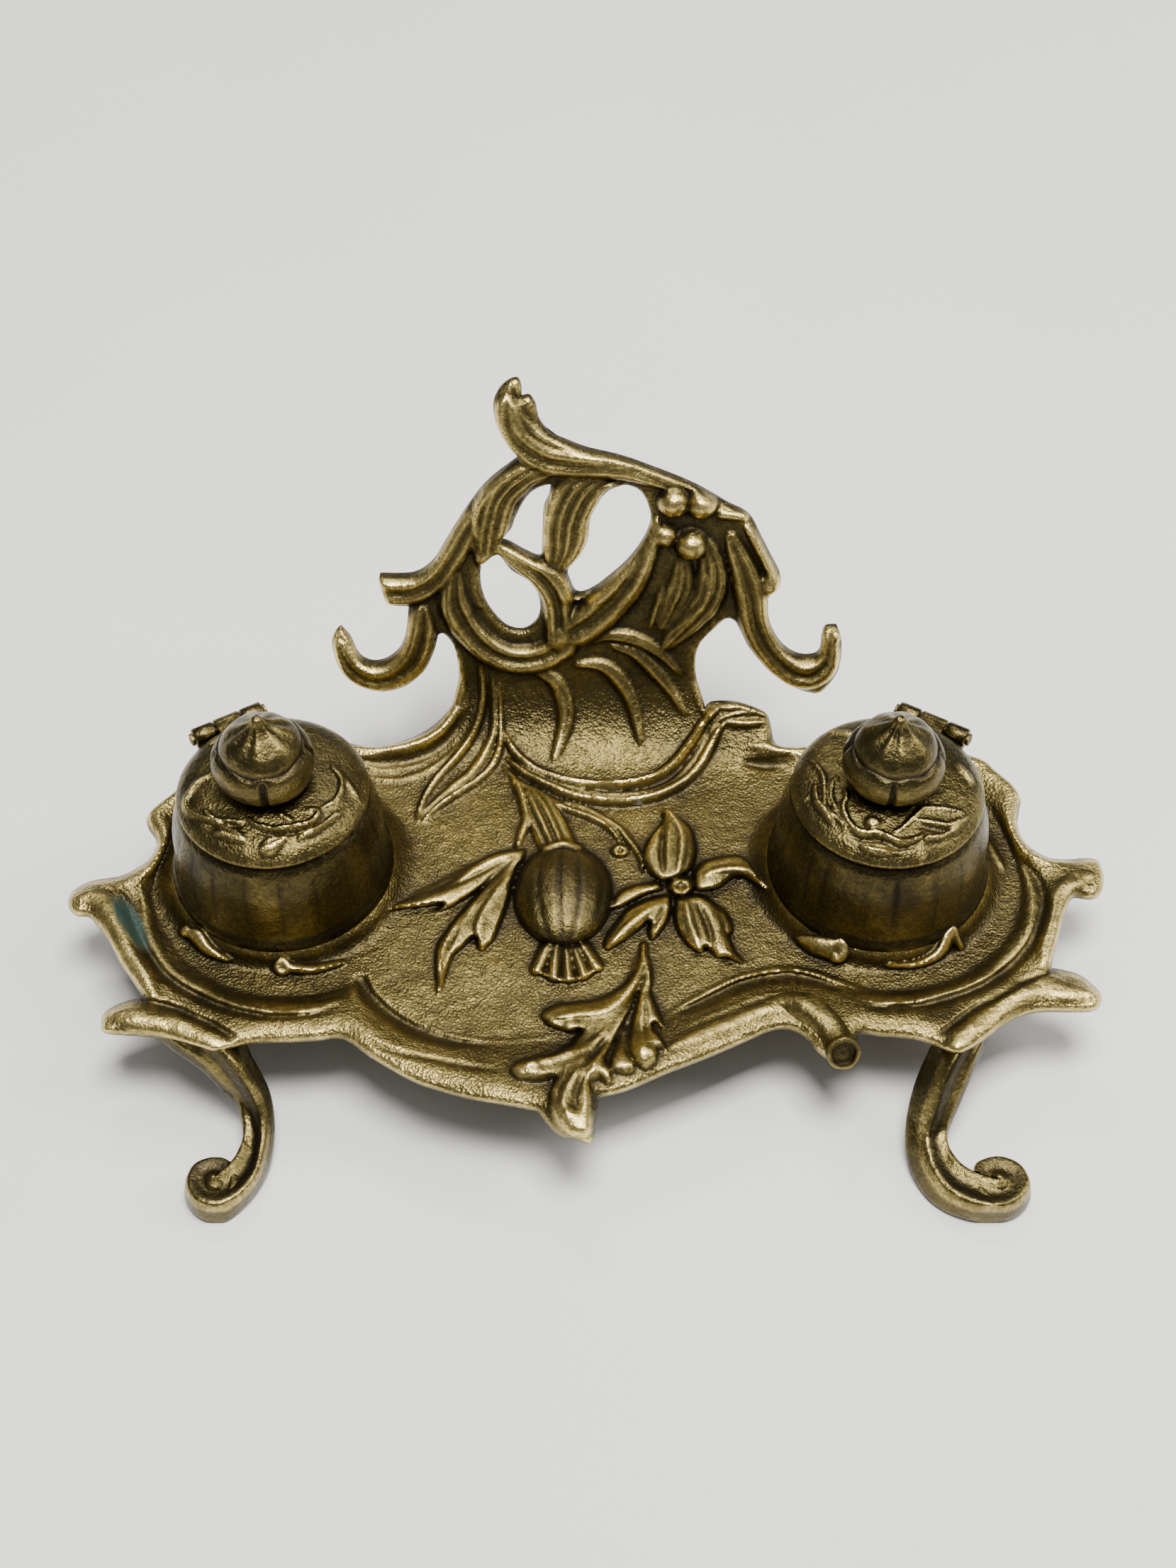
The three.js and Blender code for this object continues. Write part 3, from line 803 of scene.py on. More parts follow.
GALLERY_HOLES = [
    [[(-10, 127.5), (-14, 126), (-17, 123), (-19.5, 118), (-21, 114), (-24, 111.5), (-21, 110),
      (-17, 107.5), (-13, 106), (-12.5, 110), (-12, 120), (-10.5, 124)]],
    [[(9, 127), (5, 125), (1, 119), (0, 112), (-2, 107), (-5.5, 102), (-5, 99), (-3, 95), (1, 96),
      (6, 100), (11, 105), (15, 111), (17, 117), (16, 122), (14, 125.5), (11, 127)]],
    [[(-29, 104.5), (-25, 107), (-21, 102), (-16, 98.5), (-13.5, 94), (-13.5, 88), (-16, 84.5),
      (-19, 83.5), (-23, 85), (-27, 90), (-29, 95), (-29.5, 100)]],
]
DISH_EDGE = [[
    (-61, -31), (-70, -34.3), (-80, -35.7), (-90, -34.7), (-100, -31), (-108, -25), (-113, -17),
    (-116, -8), (-117.5, 2), (-115.5, 13), (-112.5, 24), (-105, 35), (-95, 42), (-82, 45.5), (-68, 44),
    (-58, 42.5), (-50, 43.5), (-43, 47), (-37, 53), (-33, 62), (-32, 90), (30, 90), (29.5, 66), (33, 58),
    (34, 52), (40, 47.5), (50, 44.5), (60, 44.5), (70, 46), (82, 47.5), (96, 44), (106, 37), (112, 28),
    (115, 18), (116.5, 8), (117, -1), (115, -10), (110.5, -18), (103.5, -26), (95, -31), (85, -33.3),
    (75, -33), (66, -30), (57, -27), (50, -26.3), (40, -29), (30, -34.5), (20, -41), (10, -47), (0, -50),
    (-8, -49.5), (-15, -48.8), (-25, -49), (-35, -47.6), (-45, -44.5), (-52, -40), (-57, -34),
]]


# ---- relief of the tray and gallery ----
def edge_line(runs):
    """An open line of smooth runs."""
    return np.vstack([smooth(run)[:-1] for run in runs] + [[runs[-1][-1]]])


def casting_loops(edge, holes):
    """The closed outline of the tray or gallery, back along the seam, and those of its holes."""
    return [outline(edge + [SEAM[::-1]])] + [outline(hole) for hole in holes]


def far_from(relief, line, reach):
    """Every grid point's distance to a line, no more than the reach."""
    far = np.full(relief.ground.shape, reach)
    spot, distance, _, _ = relief.measure(line, reach)
    far[spot] = distance
    return far


def sheet_ground(relief):
    """The smooth form under the ornament: the dish, its coved sides and the rolled edges."""
    reach = 24.0
    dish = outline(DISH_EDGE, 2.0)
    to_dish = far_from(relief, ringed(dish), reach)
    to_dish[inside([dish], relief.x, relief.s)] = 0
    to_tray = far_from(relief, edge_line(TRAY_EDGE), reach)
    to_gallery = far_from(relief, edge_line(GALLERY_EDGE), reach)
    for hole in GALLERY_HOLES:
        to_gallery = np.minimum(to_gallery, far_from(relief, ringed(outline(hole)), reach))
    slope = np.gradient(blurred(to_tray, 2), relief.step, axis=0)
    tray_wall = blurred(3.2 + 3.6 * np.clip(slope, 0, 1) ** 1.5, 4)
    clear = np.minimum(np.maximum(to_tray - tray_wall, 0), np.maximum(to_gallery - GALLERY_ROLL, 0))
    share = to_dish / (to_dish + clear + 1e-6)
    ground = (-3.5 + 2.7 * ease(30, 66, relief.s)[:, None]) * (1 - share) ** 1.5
    drop = (-back_of(relief.s) - EDGE_LIP)[:, None]
    rolled = np.zeros_like(ground)
    for far, wall in ((to_tray, tray_wall), (to_gallery, GALLERY_ROLL)):
        roll = np.clip(1 - far / wall, 0, 1)
        ground = ground * (1 - roll)
        rolled = np.minimum(rolled, -drop * (1 - np.sqrt(1 - roll ** 2)))
    whole = inside(casting_loops(TRAY_EDGE, []), relief.x, relief.s)
    whole |= inside(casting_loops(GALLERY_EDGE, GALLERY_HOLES), relief.x, relief.s)
    beyond = -drop - 0.5 * np.minimum(to_tray, to_gallery)
    relief.ground = np.where(whole, ground + rolled, beyond)
    for x in well_x.values():
        away = np.hypot(relief.x[None, :] - x, relief.s[:, None] - WELL_Y)
        flare = np.clip((MOUND_REACH - away) / (MOUND_REACH - MOUND_RADIUS), 0, 1) ** 1.8
        relief.ground = np.where(whole, relief.ground * (1 - flare) + MOUND_HEIGHT * flare, relief.ground)


def tray_rims(r):
    """Mouldings that follow the tray's edge."""
    r.ridge([(-113, -15), (-110, -22), (-104, -28.5), (-96, -33), (-88, -35.5), (-80, -36), (-70, -35.3),
             (-63, -33)], 0.9, 0.5)
    r.ridge([(-120, 0), (-117, -10), (-113.5, -18), (-108, -26), (-101, -31.5), (-92, -36), (-82, -38.2),
             (-72, -38), (-64, -36)], 2.8, 1.2)
    r.groove([(-125, -2), (-121, -11), (-117, -19.5), (-111, -28), (-104, -33.5), (-95, -38), (-85, -40.7),
              (-75, -41), (-66, -39.5)], 1.6, 0.9)
    r.ridge([(117.5, 8), (118.5, 0), (117, -9), (113, -18), (106, -26), (98, -31.5), (88, -35),
             (78, -35.8), (70, -35)], 2.8, 1.2)
    r.groove([(118, 10), (121.5, 3), (122, -5), (119.5, -13), (115, -21), (108, -28), (100, -33),
              (92, -36), (84, -38), (72, -38.5)], 1.8, 1.1)
    r.ridge([(-45, -44.5), (-35, -47.5), (-25, -48.8), (-15, -48.4), (-8, -47)], 0.8, 0.5)
    r.groove([(-60, -28), (-58, -34), (-52, -40.5), (-45, -45.5), (-35, -49), (-25, -50.5)],
             2.2, 1.1, 0.05, 0.4)
    r.groove([(-58, -47), (-50, -51.5), (-40, -54), (-30, -56.3), (-22, -57.5)], 1.2, 0.7)
    r.ridge([(20, -41), (25, -37.5), (30, -34.5), (40, -29), (50, -26.5), (57, -27), (65, -30), (72, -33)],
            1.1, 1.0)
    r.groove([(24, -40), (30, -37), (40, -31.5), (50, -29), (57, -29.5), (66, -33)], 2.2, 1.3)
    r.ridge([(25, -44), (35, -39), (45, -34.5), (53, -34), (60, -36.5)], 0.8, 0.4)
    r.ridge([(20, -50.5), (30, -45.5), (40, -41), (48, -37.5), (55, -37), (60, -40), (65, -46)], 2.4, 0.8)
    r.ridge([(-66, 49.5), (-58, 48.8), (-50, 50), (-44, 52.5), (-39.5, 57), (-37, 62.5), (-35.8, 70),
             (-36.5, 78)], 2.0, 1.2)
    r.groove([(-66, 46), (-58, 45.2), (-50, 46.3), (-43, 49.5), (-38, 54), (-34.5, 60)], 1.8, 1.2)
    r.ridge([(-62, 41.5), (-55, 40.5), (-48, 42), (-41, 46), (-35.5, 51), (-32.5, 57), (-31.5, 64)],
            1.0, 0.7)
    r.ridge([(44, 50), (52, 49.3), (60, 49.5), (66, 51)], 1.6, 0.8)
    r.groove([(43, 46), (50, 45.5), (60, 46.5)], 1.8, 1.0)


def tray_ears(r):
    """The four leaf ends that curl out at the tray's sides."""
    r.ridge([(-137, -3), (-132, -2.5), (-127.5, -6), (-124.5, -13), (-120.5, -21), (-115.5, -29),
             (-112.5, -34.5)], 4.2, 1.2)
    r.groove([(-128, 2), (-124, -1), (-121, -6)], 0.9, 0.6)
    r.ridge([(-123, -40), (-116, -41.5), (-108, -43.5), (-101, -47), (-94, -51), (-89, -55)],
            4.2, 1.5, 0.2, 0.0)
    r.groove([(-117, -35.5), (-110, -37.5), (-103, -40.5), (-96, -44), (-90, -47.5)], 1.5, 1.3)
    r.ridge([(136, 5), (131, 3), (127, -2), (124, -10), (121.5, -18), (119, -25)], 3.8, 1.2)
    r.ridge([(119.5, 12), (124, 10), (131, 9)], 1.4, 0.7)
    r.ridge([(131, -34), (124, -33), (118, -31.5), (110, -35), (103, -41), (97, -47), (92, -54)],
            4.2, 1.5, 0.2, 0.0)
    r.groove([(121, -27), (114, -30), (107, -34.5), (100, -39), (94, -43.5), (89, -47)], 1.5, 1.3)


def acanthus(r):
    """The large leaf that hangs over the front edge."""
    r.pad([[(14, -18), (13.6, -24), (11.5, -29), (7.5, -33), (2.5, -36), (-3, -36.8), (-8, -37.5),
            (-12, -40.5)],
           [(-10.5, -43.8), (-6, -45.7), (-2, -45.5)],
           [(-4.5, -49.5), (-8.5, -52.5), (-13, -53.3), (-17.5, -54.8), (-19.8, -57.5)],
           [(-17.5, -60.3), (-12.5, -60.8), (-8.5, -60)],
           [(-9.8, -65), (-9.2, -70), (-7, -74.5), (-3, -77), (0.5, -76), (1.2, -71), (0.8, -65),
            (0.5, -61)],
           [(3, -60), (5.5, -61.5), (5.8, -58), (4.5, -54)],
           [(6.5, -49), (8.5, -45), (10, -41), (12, -36), (14, -31), (15.2, -25), (15.5, -18)]], 2.2)
    r.groove([(13, -30), (11, -36), (7, -43), (3, -50), (-1, -58), (-3, -66), (-3, -74)], 1.0, 0.9)
    r.ridge([(14, -20), (11, -31), (5, -38.5), (-3, -40), (-10, -41.5)], 1.6, 0.9, over=True)
    r.ridge([(11, -38), (5, -46), (0, -50), (-8, -54), (-17, -57.5)], 1.7, 1.0, over=True)
    r.ridge([(1, -56), (-4, -62), (-6, -68), (-5, -74)], 1.5, 0.9, over=True)
    r.ridge([(8, -45), (4, -53), (1, -60), (-0.5, -68), (-1, -74)], 1.2, 0.7, over=True)
    for centre in ((-4, -44), (-14, -58), (-4, -72)):
        r.knob(centre, 2.2, 0.7, over=True)
    r.pad([[(15.5, -20), (16.8, -28), (16.5, -34), (18, -39), (19.5, -44.5)], [(17.3, -43), (16.8, -44.5)],
           [(18.8, -48), (20, -52), (18, -51)],
           [(17.5, -55), (14.5, -57), (11.5, -55), (10.2, -50.5), (11, -45), (12.5, -38), (13.8, -31),
            (14.8, -24)]], 2.6, dome=1.0)
    r.groove([(15.3, -24), (15.2, -34), (15, -44), (14.5, -50)], 0.8, 0.7)
    r.knob((14, -53), 3.2, 4.2)
    r.pad([[(8, -45), (7, -50), (5.5, -55), (6, -58), (10, -58.5), (12, -57), (10.5, -51), (10.5, -45)]],
          1.8)


def left_leaves(r):
    """Two ragged leaves that sweep left from the stem."""
    r.pad([[(-17, 14), (-24, 13), (-30, 9), (-37, 2.5), (-44, -1.5), (-53, -6.5)],
           [(-45, -6), (-39, -5), (-41, -8)],
           [(-36, -5.5), (-31, -1.5), (-24, 4), (-18, 9)]], 2.4)
    r.pad([[(-29, 0), (-34, -8), (-37.5, -14), (-40, -20), (-39.5, -30), (-38.8, -34.5)],
           [(-37, -27), (-35.5, -22), (-33, -19), (-30, -16)],
           [(-29, -20), (-27.8, -20.3), (-26, -18), (-25, -17), (-23.5, -12), (-22, -7), (-20.5, 0),
            (-19.5, 6), (-17.5, 12), (-24, 6)]], 2.6)
    r.groove([(-19, 12), (-26, 4), (-32, -6), (-36, -16), (-38.5, -28)], 0.9, 0.9)
    r.groove([(-22, 10), (-35, 2), (-50, -5.5)], 0.9, 0.9)
    r.ridge([(-19, 13), (-28, 9.5), (-37, 3.5), (-46, -2), (-52, -6)], 1.2, 0.8, over=True)
    r.ridge([(-20, 6), (-26, -4), (-29, -12), (-28, -19)], 1.4, 0.8, over=True)
    r.ridge([(-30, -4), (-35, -12), (-38.5, -20), (-39, -30)], 1.2, 0.9, over=True)


def bud(r):
    """The fluted pod in the middle of the tray, with its tassel."""
    centre, half_x, half_s = (-6.7, -1.8), 13.2, 17.2
    x = (r.x[None, :] - centre[0]) / half_x
    s = (r.s[:, None] - centre[1]) / half_s
    round_out = np.clip(1 - x ** 2 - s ** 2, 0, 1)
    across = x / np.sqrt(np.clip(1 - s ** 2, 0.04, 1))
    flutes = sum(np.exp(-((across - q) / 0.055) ** 2) for q in (-0.88, -0.5, -0.08, 0.36, 0.8))
    value = 9.4 * round_out ** 0.55 - 0.45 * flutes * np.clip(round_out * 3, 0, 1)
    r.raised = np.maximum(r.raised, np.where(round_out > 0, value, 0))
    # painted shade: the whole pod is made darker
    r.painted_shade = np.maximum(r.painted_shade, 0.30 * np.clip(round_out * 6, 0, 1))
    r.ridge([(-12.5, 13), (-7, 15.5), (-1.5, 13)], 2.4, 4.2, 0.1, 0.1)
    for start, end in (((-10, -17), (-13.5, -26.5)), ((-8.3, -17), (-9, -28.5)), ((-6, -18), (-5, -29)),
                       ((-4, -18), (-1, -28)), ((-2.2, -17), (2.3, -25.5))):
        r.ridge([start, end], 2.0, 2.8, 0.2, 0.0)
    r.ridge([(-13.5, -26.5), (-9, -29), (-5, -29.6), (-1, -28.4), (2.3, -25.8)], 1.1, 2.2, 0.1, 0.1)


def stems(r):
    """Stalks that tie the pod, the leaves and the flower to the whiplash."""
    r.ridge([(-24, 45), (-20, 40), (-17, 37.5), (-13, 35), (-10, 32.5), (-6, 30), (0, 27), (5, 23.5),
             (8, 19), (9, 16)], 1.3, 1.9)
    r.ridge([(-10, 33.5), (-4, 31.5), (2, 28), (8, 23), (11.5, 17), (14, 12), (15, 5)], 1.2, 1.7)
    r.ridge([(-21, 41), (-18.5, 35), (-17.5, 30), (-17, 25), (-18.5, 19), (-19.5, 14)], 1.5, 2.2, 0.1)
    r.blade([(-17, 38), (-13.5, 30), (-10.5, 22), (-7.5, 13)], 5.2, 3.2, (-0.55, 0.0, 0.5), 0.4, 0.0)
    r.knob((8.8, 13.5), 2.6, 2.4)
    r.pit((8.8, 13.5), 1.3, 1.6)


def whiplash(r):
    """The long double curve between the tray and the gallery."""
    r.ridge([(-23.5, 54), (-21, 49), (-16, 44), (-10, 40.8), (-3, 38.8), (5, 38.2), (12, 38.8), (18, 40.5),
             (23, 44), (27, 48.5), (30, 52.5), (33, 57), (36.5, 60.5)], 1.7, 2.6, 0.15, 0.1)
    r.ridge([(-23, 47), (-18, 42.5), (-12, 38.5), (-5, 34.8), (2, 33), (9, 32.5), (16, 33.5), (22, 36),
             (27, 39.5), (31, 44), (34, 49), (36.5, 54), (38.5, 56)], 1.6, 2.6, 0.15, 0.1)
    r.ridge([(-16, 42), (-8, 38), (0, 36), (8, 35.3), (16, 36), (22, 38.5), (26, 42), (30, 47), (33, 52),
             (37, 57), (43, 59), (50, 58.5)], 1.1, 1.1)
    r.ridge([(36.5, 60.5), (43, 61), (48, 59.5), (51.5, 57.5)], 1.4, 1.6)
    r.ridge([(38, 56.5), (44, 56), (50, 56.5)], 1.3, 1.3)
    r.ridge([(-30, 75), (-29.5, 66), (-30, 60), (-32, 54), (-36, 48), (-41, 42), (-44.5, 36), (-46.5, 30),
             (-47, 25)], 1.3, 2.2)
    r.ridge([(-27, 70), (-26.3, 62), (-26.5, 54), (-29, 48), (-33, 42), (-38, 37), (-43, 32), (-46, 28.5)],
            1.6, 1.5)
    r.ridge([(-25, 68), (-24.5, 58), (-24.8, 50), (-26.5, 45), (-30, 40.5), (-34, 37), (-39, 33), (-43, 29),
             (-46, 24.5)], 1.2, 2.2)


def flower(r):
    """The open flower right of the pod, five torn petals round a small boss."""
    r.pad([[(20.7, 30), (20, 24), (17, 18.5), (15, 12), (16, 7), (19, 3.5), (22, 3), (26, 5), (28.5, 8),
            (29.3, 14), (28.5, 21), (25, 26.5)]], 3.0)
    r.pad([[(28.5, 6), (31, 9), (36, 11), (41, 11.5), (44, 9), (46, 4), (48, 0)],
           [(44, 3), (40, 4.5), (35, 0.5), (29, 0)]], 2.8)
    r.pad([[(23.5, -3), (23, -8), (24, -14), (27, -19), (30, -21)], [(31, -19), (32.5, -20.5)],
           [(34, -22.5), (37, -22.5), (41, -24.8)],
           [(38.5, -20.5), (37, -15), (35.5, -9), (33, -4), (29, -2)]], 3.0)
    r.pad([[(20.5, -2), (15, -4), (10.5, -7), (7, -12), (4.5, -17), (5, -20)],
           [(9, -17.5), (13, -14), (16.2, -11)],
           [(16, -14.5), (17, -17)], [(19, -14.5), (21.5, -10), (22.5, -5), (22, -2)]], 2.8)
    r.pad([[(19, 2.5), (12, 1), (8, -1.5), (6, -4.5), (5, -7)], [(9, -6), (12, -4), (16, -1.5), (20, 0)]],
          2.2)
    r.pad([[(33, -4), (37, -8), (38.5, -13), (37, -15.5), (34, -10)]], 2.0)
    r.groove([(20.5, 5), (20, 12), (20.5, 20), (21, 29)], 1.0, 1.1)
    r.ridge([(24, 5), (25.5, 12), (25.5, 20), (22, 28)], 1.4, 0.9, over=True)
    r.ridge([(31, 5), (37, 6.8), (43, 6.5), (45.5, 3), (48, 0.5)], 1.2, 0.9, over=True)
    r.ridge([(26, -4), (27, -11), (29, -18)], 1.3, 0.9, over=True)
    r.groove([(29, -4), (31.5, -11), (33, -19)], 1.0, 1.0)
    r.ridge([(20, -4), (15, -8), (10, -13), (6, -18)], 1.3, 0.9, over=True)
    r.groove([(21, -5), (18.5, -10), (16.5, -15)], 0.8, 0.8)
    r.knob((25, 1), 3.6, 4.4)
    r.pit((25, 1), 2.0, 2.0)
    r.knob((25, 1), 1.2, 3.6)


def twigs(r):
    """Broken-off twigs that lie against the wells' feet."""
    r.ridge([(-108, -14), (-104, -15.5), (-100, -20), (-94, -23.5)], 2.4, 3.6, 0.3, 0.5)
    r.knob((-106.5, -14), 2.0, 3.4)
    r.ridge([(-79, -25.5), (-72, -26), (-64, -24)], 2.0, 3.0, 0.0, 0.6)
    r.knob((-80, -25.5), 2.8, 3.6)
    r.pit((-80, -25.5), 1.6, 1.3)
    r.ridge([(55, -15.5), (60, -19), (65, -21)], 3.0, 3.8, 0.5, 0.0)
    r.knob((65.5, -21.3), 3.0, 4.0)
    r.pit((65.5, -21.3), 1.8, 1.4)
    r.ridge([(97, -14), (95, -17), (92, -21.5), (86, -24.5), (78, -25)], 1.9, 3.0, 0.2, 0.6)
    r.ridge([(96, -14), (99, -20)], 1.5, 2.6)
    r.ridge([(109, 18), (111, 12), (113, 6)], 1.2, 1.2)


def gallery_curl(r):
    """The curl at the gallery's top and the two leaves folded over it."""
    r.channel([(-21.5, 153), (-21, 145), (-17.5, 139.5), (-11, 135.5), (-3, 134.2), (6, 134), (14, 132),
               (24, 127)], 4.4, 2.6, 0.0, 0.12, 0.3)
    r.ridge([(-23, 149), (-21, 143), (-17, 137), (-12, 133.5), (-7, 132.5), (0, 133.5), (6, 134),
             (12, 133.5), (20, 130.5)], 1.4, 2.5)
    r.ridge([(-18, 151), (-17, 147), (-13, 142.5), (-7, 139.5), (0, 137), (8, 135.5), (15, 133), (24, 129),
             (33, 124.5)], 1.5, 2.0)
    r.groove([(-19.5, 156), (-19.3, 151)], 0.9, 0.9)
    r.blade([(-9, 132.5), (-17, 131.5), (-23.5, 126), (-26.3, 118), (-27.3, 112), (-28, 106)], 5.4, 3.0,
            (-0.55, -0.1, 0.35), 0.3, 0.12)
    r.ridge([(-16, 134), (-22, 131), (-27, 126.5), (-30, 120), (-30.3, 114), (-29.5, 108)], 1.5, 3.0)
    r.knob((-28, 106.8), 3.0, 2.8, 1.2)
    r.blade([(4, 130.5), (-2, 126), (-5.5, 118), (-6.5, 110), (-9, 102.5)],
            6.8, 3.0, (-0.5, -0.1, 0.35), 0.25, 0.35)
    r.ridge([(-6, 130), (-9.8, 124), (-11.3, 116), (-11.5, 108), (-10.5, 104)], 1.3, 2.6)
    r.ridge([(8, 129), (3, 126), (0, 120), (-1.5, 112), (-4.5, 104)], 1.2, 2.2)


def gallery_stems(r):
    """The crossing stems and the left pen hook."""
    r.channel([(-36, 103), (-37, 95), (-35.4, 88.5), (-31.5, 82), (-26.5, 77.3), (-20, 75), (-13, 75.8),
               (-7, 79.5), (-3, 84)], 4.3, 3.0, 0.15, 0.2, 0.1)
    r.ridge([(-37.5, 103), (-39, 96), (-37.8, 90), (-34, 83), (-29, 77), (-23, 73.5), (-16, 73),
             (-10, 74.5), (-5, 77)], 1.2, 2.4)
    r.channel([(-25.5, 110.5), (-19, 106), (-12.8, 101.5), (-9, 95.5), (-8, 88), (-8, 82)],
              4.0, 3.2, 0.0, 0.5, 0.0)
    r.ridge([(-24, 111), (-18, 107.6), (-13, 104.6), (-8, 101.5), (-5.5, 97), (-4, 92)], 1.1, 2.7)
    r.channel([(-8, 82), (-1, 86), (5, 91.5), (11, 99.5), (15, 108), (18.5, 118)], 5.6, 3.4, 0.1, 0.1, 0.5)
    r.ridge([(-4, 93.5), (3, 97.5), (9, 103.5), (14, 110.5), (17, 118)], 1.1, 2.3)
    r.knob((-7.5, 82.8), 4.6, 4.0)
    r.channel([(-56, 96.3), (-48, 96.8), (-42, 100.5), (-37.5, 107), (-33.2, 115), (-28, 122)],
              4.3, 2.4, 0.0, 0.0, 0.3)
    r.ridge([(-56, 99.3), (-48, 99.6), (-43, 102.8), (-39, 109), (-35.5, 115.5), (-31, 121)], 1.3, 2.4, 0.0)
    r.channel([(-45.5, 92), (-46.4, 84), (-49, 76), (-55, 70.6), (-61, 70), (-66, 73.8), (-69.4, 81)],
              4.4, 2.2, 0.1, 0.15, 0.25)
    r.ridge([(-50, 90), (-50.5, 84), (-53, 78), (-58, 74.5), (-63, 75.5), (-66, 80), (-68.5, 84)], 1.3, 1.8)
    r.ridge([(-41, 83), (-43.5, 77), (-47, 71.4), (-54, 67), (-60, 66.4), (-66, 69), (-69.8, 74),
             (-70.5, 79)], 1.5, 1.7)


def gallery_right(r):
    """Leaves, berries and the right pen hook."""
    r.ridge([(36, 119.5), (42, 119)], 2.0, 1.8, 0, 0)
    r.channel([(38, 114), (42, 104), (44.6, 95), (46.3, 87), (49.5, 80), (55, 73), (61, 70.4), (66.2, 74),
               (67.6, 82.5)], 4.6, 2.5, 0.1, 0.25, 0.2)
    r.ridge([(42, 117), (45, 112), (48.5, 105), (50.5, 100), (50, 97)], 1.7, 2.6)
    r.ridge([(49.5, 92), (50.5, 86), (53, 79), (57, 76), (61, 75.5), (64, 78), (66, 84)], 1.3, 1.7)
    r.knob((50, 98.6), 3.0, 2.8, 1.2)
    r.knob((69, 82.5), 1.9, 2.0)
    r.blade([(31.5, 112), (33.8, 104), (33.4, 96), (29.5, 89), (24.5, 83), (20.5, 78)],
            4.6, 3.0, (-0.35, 0.3), 0.3, 0.45)
    r.blade([(25.5, 107), (25.6, 99), (23, 91), (20, 84)], 4.2, 2.2, (-0.3, 0.3), 0.4, 0.5)
    r.ridge([(31, 106), (32.5, 99), (31, 93), (27, 88), (22, 83)], 0.9, 3.0)
    r.ridge([(20.5, 98), (18.5, 90), (17, 84)], 1.4, 1.4)
    r.knob((23, 123), 4.4, 5.0)
    r.knob((30.5, 122.5), 4.3, 5.0)
    r.knob((28, 110.5), 4.5, 5.6)
    r.knob((21, 113), 3.4, 3.4)


def sabre_leaves(r):
    """Three long blades that cross the gallery's panel."""
    r.blade([(-17, 72.5), (-10, 69), (-6.8, 63), (-6.4, 56), (-9.6, 46)], 2.7, 2.4, (0.25,), 0.4, 0.5)
    r.blade([(-4, 73.5), (4, 73), (10, 67), (13, 60), (14.8, 51)], 2.6, 2.4, (0.3,), 0.4, 0.5)
    r.blade([(6, 79.5), (13, 77), (19, 71), (23.5, 65), (27.5, 58.5)], 2.3, 2.2, (0.3,), 0.4, 0.5)
    r.blade([(0, 80), (6, 82.5), (14, 81), (21, 76), (26, 70)], 2.2, 1.9, (0.0,), 0.3, 0.5)


ORNAMENT = (tray_rims, tray_ears, acanthus, left_leaves, bud, stems, whiplash, flower, twigs, gallery_curl,
            gallery_stems, gallery_right, sabre_leaves)


# ---- the sawn-off branch ----
CUT_BRANCH = [(46, -36.5, 27.5), (52, -36.3, 28.2), (57, -38.5, 28.6), (61, -42.5, 28.4),
              (63.4, -46.5, 28.2), (64.6, -50, 28.8), (65, -52.2, 30.2)]
# the sawn end, from its rim inwards: share of the radius and how far it stands out
SAWN_END = [(1.0, 0), (0.98, 0.5), (0.85, 0.8), (0.72, 0.7), (0.62, -0.2), (0.4, -0.3), (0.25, 0.1)]


def cut_branch(sides=40):
    """The sawn-off branch at the tray's right front: a bending tube with a sunk end."""
    line = smooth(CUT_BRANCH, 0.7)
    heading = np.gradient(line, axis=0)
    heading /= np.linalg.norm(heading, axis=1)[:, None]
    angle = np.arange(sides) * 2 * math.pi / sides
    rings, wear = [], []
    swelling = np.minimum(1.0, 0.55 + 0.03 * np.arange(len(line)))
    stations = list(zip(line, heading, swelling))
    stations += [(line[-1] + out * heading[-1], heading[-1], share) for share, out in SAWN_END]
    for k, (place, way, share) in enumerate(stations):
        across = np.cross(way, [0, 0, 1.0])
        across /= np.linalg.norm(across)
        up = np.cross(across, way)
        facet = 1 + 0.025 * np.sin(5 * angle + 0.12 * k)
        radius = BRANCH_RADIUS * share * facet[:, None]
        rings.append(place + radius * (np.cos(angle)[:, None] * across + np.sin(angle)[:, None] * up))
        # painted shade on the sunk middle of the sawn end and painted highlight on its rim
        wear.append(np.full(sides, 0.58 if k < len(line) else 0.35 + 0.35 * (share > 0.8)))
    faces = []
    for i in range(len(rings) - 1):
        pairs = [(i * sides + k, i * sides + (k + 1) % sides) for k in range(sides)]
        faces += [[a, a + sides, b + sides, b] for a, b in pairs]
    faces += [list(range(sides)), [(len(rings) - 1) * sides + k for k in reversed(range(sides))]]
    points = np.vstack(rings)
    points[:, 1] += shift_y
    return points, faces, np.concatenate(wear)


def build_castings():
    """The tray and the gallery, cut from one relief so that the ornament runs on across the seam."""
    relief = Relief(CASTING_X, CASTING_S, GRID)
    sheet_ground(relief)
    for carve in ORNAMENT:
        carve(relief)
    relief.finish()
    for name, edge, holes in (("tray", TRAY_EDGE, []), ("gallery", GALLERY_EDGE, GALLERY_HOLES)):
        points, faces, layers = cast_plate(relief, casting_loops(edge, holes))
        if name == "tray":
            branch, branch_faces, branch_wear_and_painted_light = cut_branch()
            faces = faces + [[len(points) + k for k in face] for face in branch_faces]
            points = np.vstack([points, branch])
            extra = {"wear": branch_wear_and_painted_light, "grain": np.zeros(len(branch)), "patina": np.zeros(len(branch))}
            layers = {label: np.concatenate([values, extra[label]]) for label, values in layers.items()}
        made = piece(name + "_casting", points, faces, layers, 50)
        place_piece(made, "stand", "cast_brass", brass, name)


